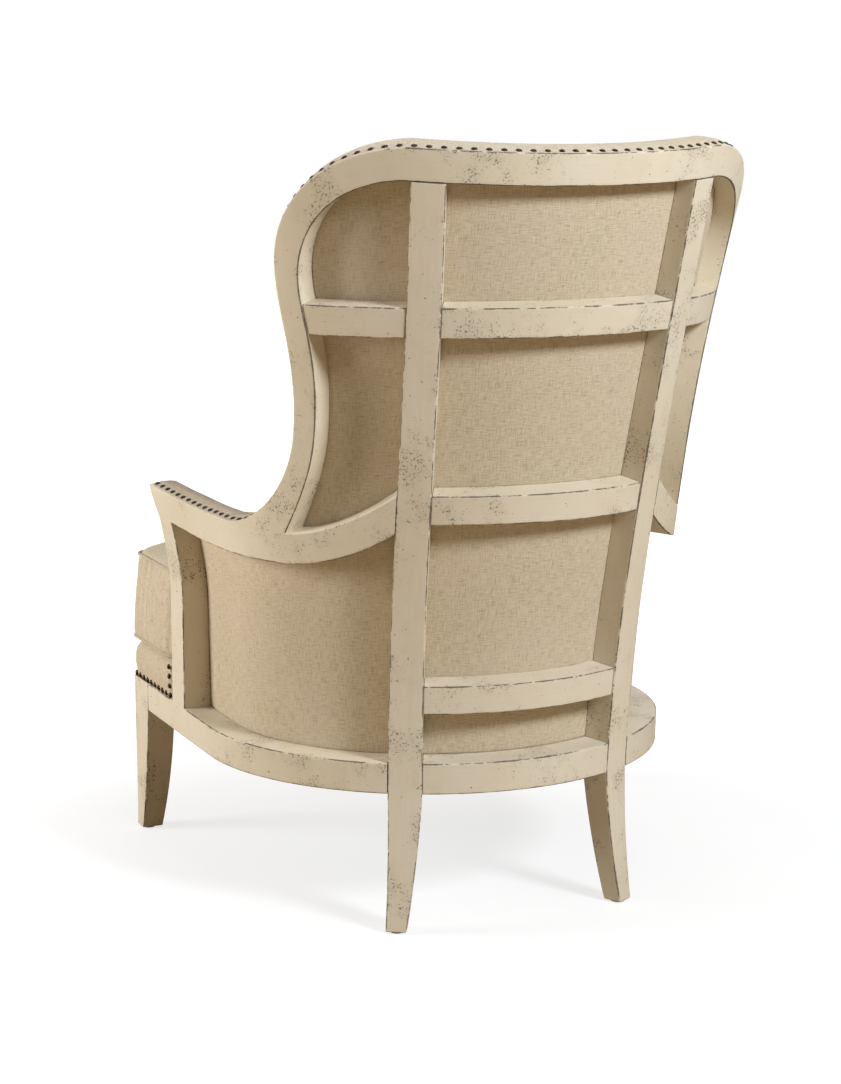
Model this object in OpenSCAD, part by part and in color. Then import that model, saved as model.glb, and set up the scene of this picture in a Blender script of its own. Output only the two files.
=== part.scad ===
// Barrel-back wing chair with an open painted frame and a loose T-shaped seat cushion.
// The frame lies on one wall: a half barrel that leans back and opens out towards its crest,
// and runs straight forward at the sides. A place on the wall is [s, z]: s is the length round
// the wall from the middle of the back, positive to the sitter's left, and z is the height.

/* [Barrel] */
// Radius of the wall's outer face at the seat and the arms
barrel_radius = 357; // [340:1:380]
// Growth of that radius from the arms to the crest
crest_flare = 73; // [40:1:90]
// Distance that the crest leans back behind the seat rail
back_lean = 184; // [140:1:200]

/* [Heights] */
// Underside of the seat rail
rail_base = 205; // [185:1:225]
// Height of the seat rail's face
rail_face = 46; // [40:1:52]
// Top of the arm rail beside the wing
arm_height = 580; // [565:1:600]
// Rise of the arm rail from there to its tip
arm_rise = 14; // [4:1:20]
// Top of the crest rail in the middle of the back
crest_height = 1114; // [1090:1:1140]
// Underside of the lower slat
lower_slat_z = 324; // [310:1:345]
// Underside of the middle slat
middle_slat_z = 604; // [590:1:620]
// Underside of the upper slat
upper_slat_z = 867; // [850:1:885]

/* [Frame members] */
// Depth of the frame members at the seat rail
seat_depth = 45; // [40:1:50]
// Depth of the frame members at the crest
crest_depth = 31; // [28:1:36]
// Face width of the crest rail and of the wing stiles at their top
crest_face = 44; // [38:1:48]
// Face width of the wing stiles at their waist
waist_face = 38; // [32:1:42]
// Face width of the arm rails
arm_face = 46; // [40:1:50]
// Face height of the slats
slat_face = 42; // [36:1:46]
// Distance that the slats and the seat rail lie behind the posts' faces
slat_inset = 2; // [1:0.5:4]
// Face width of the rear posts at the seat
post_face = 50; // [44:1:54]
// Length round the wall from the middle of the back to a rear post, at the seat
post_place = 178; // [165:1:185]
// Distance that the rear posts spread apart towards the crest, on each side
post_spread = 41; // [25:1:45]
// Chamfer on the long edges of the frame members
edge_ease = 2.5; // [1.5:0.5:4]

/* [Wings] */
// Greatest length round the wall from the middle of the back to a wing's edge
wing_reach = 440; // [425:1:450]
// Height of that widest place
wing_full_z = 975; // [955:1:990]
// Length round the wall to a wing's edge at its waist
waist_reach = 388; // [375:1:395]
// Height of the waist
waist_z = 725; // [705:1:740]
// Length round the wall to the joint of the crest rail and a stile
crest_joint = 250; // [244:1:260]

/* [Arms] */
// Distance of the arm tips in front of the barrel's centre
arm_reach = 206; // [190:1:225]
// Outward splay of the arm rails at their tips
arm_splay = 24; // [10:1:30]
// Distance of the arm posts' front edge in front of the barrel's centre
arm_post_front = 180; // [170:1:190]
// Face width of the arm posts at the seat
arm_post_face = 60; // [50:1:66]
// Face width of the arm posts at their top
arm_post_top_face = 44; // [38:1:50]

/* [Legs] */
// Distance of the front legs' front face in front of the barrel's centre
leg_front = 380; // [365:1:395]
// Width of the front legs at the rail, seen from the side
leg_side = 72; // [60:1:78]
// Width of every foot at the floor
foot_width = 29; // [26:1:34]
// Distance that the rear legs sweep back at the floor
rear_sweep = 12; // [6:1:24]
// Diameter of the glides
glide_d = 20; // [16:1:24]
// Height of the glides
glide_h = 3; // [2:0.5:4]

/* [Upholstery] */
// Thickness of the linen covers
cover_t = 2; // [1.5:0.5:3]
// Thickness of the padding on the inside of the back
back_pad = 52; // [40:1:60]
// Thickness of the padding at the foot of the inside arms
arm_pad_foot = 34; // [24:1:40]
// Thickness of the padding at the top of the inside arms and at the wings' edges
thin_pad = 10; // [8:1:14]
// Height of the roll on top of the crest rail
crest_roll = 6; // [5:1:10]
// Height of the pads on the arm rails
arm_roll = 9; // [6:1:12]
// Distance that those pads fall down the inside of the arm rails
arm_pad_fall = 12; // [8:1:16]
// Thickness of the webbing
webbing_t = 2; // [1.5:0.5:3]
// Width of one webbing strap
webbing_w = 50; // [40:1:55]
// Top of the seat platform that the cushion lies on
platform_z = 300; // [290:1:310]
// Radius of the platform's rounded front edge
platform_roll = 20; // [12:1:24]

/* [Seat cushion] */
// Distance of the cushion's front in front of the barrel's centre
cushion_front = 406; // [396:1:414]
// How far each of the cushion's ears reaches past the barrel's side
ear_overhang = 0; // [-12:1:5]
// Distance that each ear draws in from the lower welt to the upper one
ear_taper = 9; // [0:1:12]
// Height of the boxing between the two welts
boxing = 146; // [120:1:150]
// Height of the crown above the upper welt
crown = 30; // [15:1:36]
// Inward draw of the boxing half way up
draw_in = 5; // [2:1:8]
// Radius of the cushion's corners in plan
cushion_corner = 30; // [20:1:40]
// Diameter of the welt cords
welt_d = 6; // [4:0.5:8]

/* [Fit] */
// Clearance between soft pieces and what they meet
soft_gap = 0.3; // [0.2:0.1:0.5]
// Clearance between the cushion and the padding round it
cushion_gap = 6; // [5:0.5:10]

/* [Hidden] */

paint = [0.87, 0.82, 0.70];
linen = [0.80, 0.72, 0.56];
lining = [0.16, 0.15, 0.15];
beech = [0.76, 0.62, 0.43];
steel = [0.62, 0.62, 0.60];
strap = [0.50, 0.44, 0.34];
nylon = [0.85, 0.84, 0.80];

// Share of the lean that the back has at its foot, and the share that builds up in the middle
lean_start = 0.25;
lean_swing = 1.62;
// How sharply the barrel opens towards the crest
flare_power = 2.4;
// Height where an arm post starts to bend outwards, and how sharply it bends
bend_z = 430;
bend_power = 1.8;
// Rise of the crest rail from the middle of the back to its joints
crest_bow = 8;
// Distance round the wall that a rear foot stands outside its post
rear_foot_shift = 12;
// Outward kick of the front feet
front_kick = 5;
// Sizes of the corner blocks, and of the screws that hold them
block_leg = 46;
block_land = 12;
block_clip = 10;
block_thick = 26;
screw_d = 5;
screw_long = 60;
screw_fit = 0.2;
// Handles of the curves along the wing's outer edge: past the crest's joint, above and below the
// fullest place, above and below the waist, and back from where the edge meets the arm
crest_pull = 110;
wing_pull_up = 75;
wing_pull_down = 70;
waist_pull_up = 110;
waist_pull_down = 85;
arm_pull = 88;
arm_run = 150;
// The inner edge's own handles, and how far below the outer one it is fullest and narrowest
inner_crest_pull = 88;
inner_wing_pull_up = 68;
inner_wing_pull_down = 55;
inner_waist_pull_up = 127;
inner_waist_pull_down = 55;
inner_arm_pull = [17, 38];
inner_wing_drop = 20;
inner_waist_drop = 3;
// Height of the inside arm's upper part, where its padding thickens
arm_pad_tall = 180;
// Clearance of what is fitted between the seat rails, and of a glued joint between two members
rail_fit = 0.4;
joint_fit = 0.3;
// Distance from one webbing strap to the next
webbing_pitch = 105;
// Step of the slopes that are measured on the wall
probe = 0.5;
rail_top = rail_base + rail_face;
cushion_z = platform_z + soft_gap;
rear_reach = barrel_radius + back_lean;
mid_y = (rear_reach - cushion_front) / 2;

function mix(a, b, t) = a + (b - a) * t;
function limit(t) = min(max(t, 0), 1);
function unit(v) = v / norm(v);
function bezier(p, t) = pow(1 - t, 3) * p[0] + 3 * t * pow(1 - t, 2) * p[1]
    + 3 * t * t * (1 - t) * p[2] + pow(t, 3) * p[3];
function climb(z) = max(z - rail_base, 0) / (crest_height - rail_base);

// The wall
function lean_share(t) = t * (lean_start + lean_swing * t + (1 - lean_start - lean_swing) * t * t);
function lean(z) = back_lean * lean_share(climb(z));
function radius(z) = barrel_radius
    + crest_flare * pow(max(z - arm_height, 0) / (crest_height - arm_height), flare_power);
function arc_end(z) = radius(z) * PI / 2;
function run_on(s, z) = max(abs(s) - arc_end(z), 0);
function s_at(y, z) = arc_end(z) + lean(z) - y;
function bend(z) = limit((z - bend_z) / (arm_height - bend_z));
function splay(s, z) = arm_splay * pow(bend(z), 1.5) * run_on(s, z)
    / (s_at(-arm_reach, arm_height) - arc_end(arm_height));
function wall_face(s, z) = let (r = radius(z), a = min(abs(s) / r, PI / 2) * 180 / PI)
    [sign(s) * (r * sin(a) + splay(s, z)), lean(z) - (r - barrel_radius) + r * cos(a) - run_on(s, z), z];
function inward(s, z) = unit(cross(wall_face(s + probe, z) - wall_face(s - probe, z),
    wall_face(s, z + probe) - wall_face(s, z - probe)));
function wall(p, d) = wall_face(p[0], p[1]) + d * inward(p[0], p[1]);
function depth(z) = mix(seat_depth, crest_depth, limit(climb(z)));

// Section of a frame member between two places on the wall, with eased edges. Its outer face
// lies at the inset behind the wall, and its inner face at the stated depths. A broad one follows
// the wall at some places between its edges too.
function section(a, b, inset = 0, deep_a = 0, deep_b = 0, mids = 0) = let (e = unit(b - a) * edge_ease,
    da = deep_a > 0 ? deep_a : depth(a[1]), db = deep_b > 0 ? deep_b : depth(b[1]), c = edge_ease,
    inner = [for (i = [1:1:mids]) i / (mids + 1)])
    concat([wall(a + e, inset)], [for (t = inner) wall(mix(a, b, t), inset)],
        [wall(b - e, inset), wall(b, inset + c), wall(b, db - c), wall(b - e, db)],
        [for (t = inner) wall(mix(b, a, t), mix(db, da, t))],
        [wall(a + e, da), wall(a, da - c), wall(a, inset + c)]);

// Edges of the frame on the wall, as [s, z]
function crest_top(s) = crest_height + crest_bow * pow(s / crest_joint, 2);
function crest_foot(s) = crest_top(s) - crest_face;
function post_mid(z) = post_place + post_spread * pow(limit(climb(z)), 1.3);
function post_half(z) = post_face / 2 - 1.5 * climb(z);
function post_in(z) = post_mid(z) - post_half(z);
function post_out(z) = post_mid(z) + post_half(z);

function wing_edge(t) = t < 1
    ? bezier([[crest_joint, crest_top(crest_joint)], [crest_joint + crest_pull, crest_top(crest_joint) - 2],
        [wing_reach, wing_full_z + wing_pull_up], [wing_reach, wing_full_z]], t)
    : t < 2
    ? bezier([[wing_reach, wing_full_z], [wing_reach, wing_full_z - wing_pull_down],
        [waist_reach, waist_z + waist_pull_up], [waist_reach, waist_z]], t - 1)
    : bezier([[waist_reach, waist_z], [waist_reach, waist_z - waist_pull_down],
        [waist_reach + arm_run - arm_pull, arm_height], [waist_reach + arm_run, arm_height]], t - 2);
wing_in = [wing_reach - crest_face, wing_full_z - inner_wing_drop];
waist_in = [waist_reach - waist_face, waist_z - inner_waist_drop];
function wing_inner(t) = t < 1
    ? bezier([[crest_joint, crest_foot(crest_joint)],
        [crest_joint + inner_crest_pull, crest_foot(crest_joint) - 2],
        wing_in + [0, inner_wing_pull_up], wing_in], t)
    : t < 2
    ? bezier([wing_in, wing_in - [0, inner_wing_pull_down], waist_in + [0, inner_waist_pull_up],
        waist_in], t - 1)
    : bezier([waist_in, waist_in - [0, inner_waist_pull_down],
        [waist_reach - inner_arm_pull[0], arm_height + inner_arm_pull[1]], [waist_reach, arm_height]], t - 2);

// Share of the arm's rise at a place along it, and the arm rail's two edges
function rise(s) = arm_rise * pow(limit((s - arc_end(arm_height) - 40)
    / (s_at(-arm_reach, arm_height) - arc_end(arm_height) - 40)), 1.4);
// The rail runs level from here on, and these are the places that steer its curve up to the post
arm_turn = 400;
arm_steer_post = arm_turn - 138;
arm_steer_rail = arm_turn - 73;
arm_join_low = arm_height + 11;
arm_join_top = arm_height + 67;
function arm_top(t) = t < 1
    ? bezier([[post_out(arm_join_top) + joint_fit, arm_join_top], [arm_steer_post, arm_height + 35],
        [arm_steer_rail, arm_height], [arm_turn, arm_height]], t)
    : let (s = mix(arm_turn, s_at(-arm_reach, arm_height), t - 1)) [s, arm_height + rise(s)];
function arm_foot(t) = t < 1
    ? bezier([[post_out(arm_join_low) + joint_fit, arm_join_low],
        [arm_steer_post, arm_height - arm_face + 22], [arm_steer_rail, arm_height - arm_face],
        [arm_turn, arm_height - arm_face]], t)
    : let (low = arm_height - arm_face, front = s_at(-arm_post_fore(low), low),
        s = mix(arm_turn, front, t - 1)) [s, low + rise(s)];

// Edges of an arm post, as distances in front of the barrel's centre
function arm_post_fore(z) = arm_post_front + 18 * pow(bend(z), bend_power);
function arm_post_rear(z) = arm_post_fore(z)
    - mix(arm_post_face, arm_post_top_face, pow(bend(z), bend_power));

// A solid that passes through a list of rings
function ring_sides(n, k) = [for (i = [0:n - 2], j = [0:k - 1]) let (a = i * k + j, b = i * k + (j + 1) % k)
    each [[a, b + k, b], [a, a + k, b + k]]];

module loft(rings) {
    n = len(rings);
    k = len(rings[0]);
    first = [for (j = [1:k - 2]) [0, j, j + 1]];
    last = [for (j = [1:k - 2]) [(n - 1) * k, (n - 1) * k + j + 1, (n - 1) * k + j]];
    polyhedron([for (r = rings) each r], concat(ring_sides(n, k), first, last));
}

// The same, closed at each end by triangles round a place inside the ring
module loft_from_heart(rings) {
    n = len(rings);
    k = len(rings[0]);
    low = n * k;
    first = [for (j = [0:k - 1]) [low, j, (j + 1) % k]];
    last = [for (j = [0:k - 1]) [low + 1, (n - 1) * k + (j + 1) % k, (n - 1) * k + j]];
    polyhedron(concat([for (r = rings) each r], [[heart[0], heart[1], rings[0][0][2]],
        [heart[0], heart[1], rings[n - 1][0][2]]]), concat(ring_sides(n, k), first, last));
}

// A closed sheet between two faces, each given as rows of points
module slab(outer, inner) {
    rows = len(outer);
    cols = len(outer[0]);
    all = rows * cols;
    function at(i, j) = i * cols + j;
    front = [for (i = [0:rows - 2], j = [0:cols - 2])
        each [[at(i, j), at(i, j + 1), at(i + 1, j + 1)], [at(i, j), at(i + 1, j + 1), at(i + 1, j)]]];
    back = [for (f = front) [f[0] + all, f[2] + all, f[1] + all]];
    rim = concat([for (j = [0:cols - 2]) [at(0, j), at(0, j + 1)]],
        [for (i = [0:rows - 2]) [at(i, cols - 1), at(i + 1, cols - 1)]],
        [for (j = [cols - 1:-1:1]) [at(rows - 1, j), at(rows - 1, j - 1)]],
        [for (i = [rows - 1:-1:1]) [at(i, 0), at(i - 1, 0)]]);
    edge = [for (e = rim) each [[e[0], e[0] + all, e[1] + all], [e[0], e[1] + all, e[1]]]];
    polyhedron([for (r = outer) each r, for (r = inner) each r], concat(front, back, edge));
}

// Puts the chair's middle at the origin
module in_place() {
    translate([0, -mid_y, 0]) children();
}

module right_hand() {
    mirror([1, 0, 0]) children();
}

// Frame
module crest_rail() {
    steps = 20;
    color(paint) in_place() loft([for (i = [-steps:steps]) let (s = (crest_joint - joint_fit) * i / steps)
        section([s, crest_foot(s)], [s, crest_top(s)])]);
}

// Share of a curve of the wing's edge from one section to the next, in its stile and in its roll
rim_step = 0.1;

module wing_stile() {
    steps = 29;
    color(paint) in_place() loft([for (i = [0:steps]) let (t = i * rim_step)
        section(wing_inner(t), wing_edge(t), mids = 2)]);
}

module left_wing_stile() wing_stile();
module right_wing_stile() right_hand() wing_stile();

module arm_rail() {
    steps = 26;
    color(paint) in_place() loft([for (i = [0:steps]) let (t = 2 * i / steps)
        section(arm_foot(t), arm_top(t))]);
}

module left_arm_rail() arm_rail();
module right_arm_rail() right_hand() arm_rail();

module arm_post() {
    steps = 12;
    high = arm_height - arm_face - joint_fit;
    color(paint) in_place() loft([for (i = [0:steps]) let (z = mix(rail_top, high, i / steps),
        a = s_at(-arm_post_fore(z), z), b = s_at(-arm_post_rear(z), z), top = i == steps ? 1 : 0)
        section([a, z + top * rise(a)], [b, z + top * rise(b)])]);
}

module left_arm_post() arm_post();
module right_arm_post() right_hand() arm_post();

// A rear post and its sabre leg in one piece: the leg narrows and sweeps back below the rail
function leg_share(z) = limit((rail_base - z) / rail_base);
function post_section(z, top = 0) = let (t = leg_share(z), mid = post_mid(z) + rear_foot_shift * pow(t, 1.5),
    half = mix(post_half(z), foot_width / 2, pow(t, 1.2)), sweep = rear_sweep * t * t,
    deep = mix(depth(z), foot_width, t), a = mid + half, b = mid - half)
    section([a, top > 0 ? crest_foot(a) : z], [b, top > 0 ? crest_foot(b) : z], -sweep,
        deep - sweep, deep - sweep);

module rear_post() {
    leg_steps = 8;
    back_steps = 20;
    color(paint) in_place() difference() {
        loft(concat([for (i = [0:leg_steps - 1]) post_section(mix(glide_h, rail_base, i / leg_steps))],
            [for (i = [0:back_steps]) post_section(mix(rail_base, crest_foot(post_mid(crest_height)),
                i / back_steps), i == back_steps ? 1 : 0)]));
        screw_bores();
    }
}

module left_rear_post() rear_post();
module right_rear_post() right_hand() rear_post();

// How far a slat or rail runs from the back's middle to its joint with a rear post
function rail_end(z) = post_in(z) - joint_fit;

// A slat between the two rear posts, its underside at z
module back_slat(z) {
    steps = 14;
    color(paint) in_place() loft([for (i = [-steps / 2:steps / 2]) let (f = 2 * i / steps)
        section([f * rail_end(z), z], [f * rail_end(z + slat_face), z + slat_face], slat_inset)]);
}

module upper_slat() back_slat(upper_slat_z);
module middle_slat() back_slat(middle_slat_z);
module lower_slat() back_slat(lower_slat_z);

// Length round the wall to a wing's inner edge at the heights of the side slat
function inner_at(z, low = 1, high = 2, n = 24) = let (m = (low + high) / 2)
    n == 0 ? wing_inner(m)[0] : wing_inner(m)[1] > z ? inner_at(z, m, high, n - 1)
    : inner_at(z, low, m, n - 1);

module side_slat() {
    steps = 8;
    low = upper_slat_z;
    high = upper_slat_z + slat_face;
    color(paint) in_place() loft([for (i = [0:steps]) let (f = i / steps)
        section([mix(post_out(low) + joint_fit, inner_at(low) - joint_fit, f), low],
            [mix(post_out(high) + joint_fit, inner_at(high) - joint_fit, f), high], slat_inset)]);
}

module left_side_slat() side_slat();
module right_side_slat() right_hand() side_slat();

module back_seat_rail() {
    steps = 14;
    color(paint) in_place() loft([for (i = [-steps / 2:steps / 2]) let (f = 2 * i / steps)
        section([f * rail_end(rail_base), rail_base], [f * rail_end(rail_top), rail_top])]);
}

module side_seat_rail() {
    bend_steps = 16;
    leg_rear = leg_front - leg_side - joint_fit;
    color(paint) in_place() loft(concat(
        [for (i = [0:bend_steps]) let (f = i / bend_steps)
            section([mix(post_out(rail_base) + joint_fit, arc_end(rail_base), f), rail_base],
                [mix(post_out(rail_top) + joint_fit, arc_end(rail_top), f), rail_top])],
        [section([s_at(-leg_rear, rail_base), rail_base], [s_at(-leg_rear, rail_top), rail_top])]));
}

module left_seat_rail() side_seat_rail();
module right_seat_rail() right_hand() side_seat_rail();

module front_seat_rail() {
    half = barrel_radius - seat_depth;
    color(paint) in_place() difference() {
        translate([-half, -leg_front, rail_base]) cube([2 * half, seat_depth, rail_face]);
        screw_bores();
    }
}

// Places of the four feet: the outer face's middle line at the floor
function front_leg_fore(z) = leg_front - (leg_side - foot_width) * 0.42 * pow(leg_share(z), 2);
function front_leg_rear(z) = leg_front - leg_side + (leg_side - foot_width) * 0.58 * leg_share(z);
function front_leg_deep(z) = mix(seat_depth, foot_width + 4, pow(leg_share(z), 2));
function front_leg_kick(z) = front_kick * pow(leg_share(z), 3);

module front_leg() {
    steps = 11;
    color(paint) in_place() difference() {
        loft([for (i = [0:steps]) let (z = i == steps ? rail_top : mix(glide_h, rail_base, i / (steps - 1)),
            k = front_leg_kick(z), d = front_leg_deep(z) - k)
            section([s_at(-front_leg_fore(z), z), z], [s_at(-front_leg_rear(z), z), z], -k, d, d)]);
        screw_bores();
    }
}

module left_front_leg() front_leg();
module right_front_leg() right_hand() front_leg();

// Blocks that brace the four corners under the seat, and their screws
post_angle = post_place / barrel_radius * 180 / PI;
block_tall = rail_face - 8;
block_corner = [barrel_radius - seat_depth - rail_fit, -leg_front + seat_depth + rail_fit];
module front_block_plan() {
    translate(block_corner) polygon([[0, block_clip], [0, block_leg], [-block_land, block_leg],
        [-block_leg, block_land], [-block_leg, 0], [-block_clip, 0]]);
}

module rear_block_plan() {
    flats = 96;
    rotate([0, 0, -post_angle]) intersection() {
        rotate([0, 0, 90 + 180 / flats]) circle(r = barrel_radius - seat_depth - rail_fit, $fn = flats);
        translate([-block_leg * 0.75, barrel_radius - seat_depth - block_thick])
            square([block_leg * 1.5, 2 * block_thick]);
    }
}

// Every screw starts at the face of its block and runs into the leg or the post behind it
module at_screws() {
    for (side = [0, 1], z = [rail_base + 13, rail_top - 13])
        mirror([side, 0, 0]) translate([0, 0, z]) {
            translate(block_corner + (block_leg + block_land) / 2 * [-1, 1])
                rotate([0, 0, -45]) rotate([0, 90, 0]) children();
            rotate([0, 0, -post_angle]) translate([0, barrel_radius - seat_depth - block_thick])
                rotate([-90, 0, 0]) children();
        }
}

module screw_bores() {
    at_screws() cylinder(d = screw_d + screw_fit, h = screw_long + screw_fit, $fn = 24);
}

module corner_blocks() {
    color(beech) in_place() difference() {
        translate([0, 0, rail_base + 4]) linear_extrude(block_tall) for (side = [0, 1])
            mirror([side, 0, 0]) {
                front_block_plan();
                rear_block_plan();
            }
        screw_bores();
    }
}

module block_screws() {
    color(steel) in_place() at_screws() translate([0, 0, -screw_fit / 2]) {
        cylinder(d = screw_d, h = screw_long, $fn = 24);
        translate([0, 0, -3]) cylinder(d = screw_d * 2, h = 3, $fn = 24);
    }
}

module foot_glides() {
    rear = wall([post_mid(0) + rear_foot_shift, 0], foot_width / 2 - rear_sweep);
    fore = wall([s_at(-(front_leg_fore(0) + front_leg_rear(0)) / 2, 0), 0], foot_width / 2 - front_kick);
    color(nylon) in_place() for (p = [rear, fore], side = [0, 1])
        mirror([side, 0, 0]) translate([p[0], p[1], 0]) cylinder(d = glide_d, h = glide_h, $fn = 32);
}

// Upholstery. Every layer lies on the wall behind the one outside it.
cover_gap = 1;
layer_gap = cover_gap - 0.1;
cover_low = rail_top + soft_gap;
arm_thin_z = arm_height - arm_pad_tall;
rim_start = rim_step;
rim_rows = 27;
join_s = s_at(0, arm_height) - 20;
function cover_in(z) = depth(z) + cover_gap;
function pad_in(z) = cover_in(z) + cover_t + layer_gap;
function arm_pad_t(z) = mix(arm_pad_foot, thin_pad, limit((z - arm_thin_z) / (arm_height - arm_thin_z)));
function back_pad_t(z) = back_pad * (1 - 0.35 * pow(limit(climb(z)), 4));
function edge_pad_t(z) = z < arm_height ? arm_pad_t(z)
    : mix(thin_pad, thin_pad + 8, limit((z - arm_height) / 60));
function pad_t(s, z, reach) = mix(back_pad_t(z), edge_pad_t(z), pow(limit(abs(s) / reach), 4));

// Rows of places on the wall for a sheet whose sides are given at its low and high ends
module sheet_on_wall(rows) {
    slab([for (r = rows) [for (p = r) wall(p, cover_in(p[1]))]],
        [for (r = rows) [for (p = r) wall(p, cover_in(p[1]) + cover_t)]]);
}

module outside_back() {
    rows = 14;
    cols = 20;
    high = crest_height - 20;
    color(linen) in_place() sheet_on_wall([for (i = [0:rows]) let (z = mix(cover_low, high, i / rows))
        [for (j = [-cols / 2:cols / 2]) [2 * j / cols * (post_mid(z) - soft_gap), z]]]);
}

// Length round the wall to a wing's outer edge, for heights above the arm
function edge_at(z, low = 0, high = 2.95, n = 24) = let (m = (low + high) / 2)
    n == 0 ? wing_edge(m)[0] : wing_edge(m)[1] > z ? edge_at(z, m, high, n - 1) : edge_at(z, low, m, n - 1);

module outside_wing() {
    rows = 14;
    cols = 12;
    low = arm_height - 20;
    high = crest_height - 20;
    color(linen) in_place() sheet_on_wall([for (i = [0:rows]) let (z = mix(low, high, i / rows),
        a = post_mid(z) + soft_gap, b = min(edge_at(max(z, arm_height + 12)) - 14, wing_reach - 14))
        [for (j = [0:cols]) [mix(a, b, j / cols), z]]]);
}

module left_outside_wing() outside_wing();
module right_outside_wing() right_hand() outside_wing();

module outside_arm() {
    rows = 10;
    cols = 20;
    high = arm_height - 20 - soft_gap;
    color(linen) in_place() sheet_on_wall([for (i = [0:rows]) let (z = mix(cover_low, high, i / rows),
        a = post_mid(z) + soft_gap, b = s_at(-arm_post_fore(z) + 8, z))
        [for (j = [0:cols]) [mix(a, b, j / cols), z]]]);
}

module left_outside_arm() outside_arm();
module right_outside_arm() right_hand() outside_arm();

// The padding inside the back and the wings, down to the seat. Its inner face stays back from its
// edge, where the roll falls over it, by a distance that grows from the wings' middle to the crest.
drop_low = 4;
drop_high = 15;
drop_z = wing_full_z - wing_pull_up;
function edge_drop(z) = mix(drop_low, drop_high, limit((z - drop_z) / (crest_height - drop_z)));
function set_back(p, f, top) = abs(f) == 1 && p[1] > arm_height ? p - sign(f) * [out_at(p)[0], 0]
    * edge_drop(p[1]) - [0, out_at(p)[1]] * edge_drop(p[1]) : top ? p - [0, edge_drop(p[1])] : p;
function out_at(p) = rim_out(1 + rim_share(p[1]));
function rim_share(z, low = 0, high = 2.95, n = 16) = let (m = (low + high) / 2)
    n == 0 ? m : wing_edge(m)[1] > z ? rim_share(z, m, high, n - 1) : rim_share(z, low, m, n - 1);

module inside_back() {
    cols = 16;
    low_rows = 5;
    high_rows = rim_rows - 1;
    levels = concat([for (i = [0:low_rows - 1]) [join_s, mix(cover_low, arm_height - 4, i / low_rows), 0]],
        [for (i = [0:high_rows]) let (t = (rim_rows - i) * rim_step, p = wing_edge(t))
            [p[0], p[1], t < 1 ? mix(crest_height - 2, wing_full_z, t) - p[1] : 0]]);
    rows = [for (l = levels) [for (j = [-cols / 2:cols / 2]) let (f = 2 * j / cols)
        [l[0] * f, l[1] + l[2] * (1 - pow(f, 4)), l[0], f]]];
    last = len(rows) - 1;
    color(linen) in_place() slab([for (r = rows) [for (p = r) wall([p[0], p[1]], pad_in(p[1]))]],
        [for (i = [0:last]) [for (p = rows[i]) wall(set_back([p[0], p[1]], p[3], i == last),
            pad_in(p[1]) + pad_t(p[0], p[1], p[2]))]]);
}

module inside_arm() {
    rows = 8;
    cols = 6;
    high = arm_height - arm_pad_fall - 5 * layer_gap;
    grid = [for (i = [0:rows]) let (z = mix(cover_low, high, i / rows), a = join_s + 2 * soft_gap,
        b = s_at(-arm_post_fore(z) + 4, z)) [for (j = [0:cols]) let (s = mix(a, b, j / cols)) [s, z]]];
    color(linen) in_place() slab(
        [for (r = grid) [for (p = r) wall([p[0], p[1] + lift(p[0], p[1])], pad_in(p[1]))]],
        [for (r = grid) [for (p = r) wall([p[0], p[1] + lift(p[0], p[1])], pad_in(p[1]) + arm_pad_t(p[1]))]]);
}
function lift(s, z) = rise(s) * limit((z - bend_z) / (arm_height - bend_z));

module left_inside_arm() inside_arm();
module right_inside_arm() right_hand() inside_arm();

// The roll that carries the linen over the crest rail and round the wings' edges
function rim(u) = let (v = abs(u), s = crest_joint * v,
    p = v < 1 ? [s, crest_top(s)] : wing_edge(v - 1)) [sign(u) * p[0], p[1]];
function rim_out(u) = let (t = unit(rim(u + 0.01) - rim(u - 0.01))) [-t[1], t[0]];
function rim_height(u) = mix(crest_roll, thin_pad - 4, limit(abs(u) - 0.6));
// Its section: flat on the wood, and falling over the padding's edge inside
function over(p, o, h, d, out, fall) = [wall(p + o * soft_gap, d), wall(p + o * soft_gap, 3),
    wall(p + o * h * 0.6, 3.5), wall(p + o * h, d * 0.4), wall(p + o * h * 0.75, d * 0.85),
    wall(p + o * (h * 0.4 - fall * 0.25), mix(d, out, 0.6)), wall(p - o * fall * 0.8, out),
    wall(p - o * (fall - cover_gap), out)];
module crest_pad() {
    steps = rim_rows + 1 / rim_step;
    color(linen) in_place() loft([for (i = [-steps:steps]) let (u = i * rim_step, p = rim(u),
        d = pad_in(p[1]), t = abs(u) < 1 + rim_start ? pad_t(p[0], p[1], wing_edge(rim_start)[0])
        : edge_pad_t(p[1]))
        over(p, rim_out(u), rim_height(u), d, d + t, edge_drop(p[1]))]);
}

module arm_pad() {
    steps = 12;
    last = s_at(-arm_reach, arm_height);
    color(linen) in_place() loft([for (i = [0:steps]) let (
        s = mix(waist_reach + arm_run + 2, last - 2, i / steps),
        z = arm_height + rise(s), h = arm_roll * (i == steps ? 0.5 : 1), d = depth(z), out = d + thin_pad,
        behind = d + cover_gap + soft_gap)
        [wall([s, z + layer_gap], behind), wall([s, z + layer_gap], 3), wall([s, z + h * 0.7], 3.5),
            wall([s, z + h], d * 0.5), wall([s, z + h * 0.6], d), wall([s, z - arm_pad_fall * 0.3], out),
            wall([s, z - arm_pad_fall], out - 2), wall([s, z - arm_pad_fall], behind)]]);
}

module left_arm_pad() arm_pad();
module right_arm_pad() right_hand() arm_pad();

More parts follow.
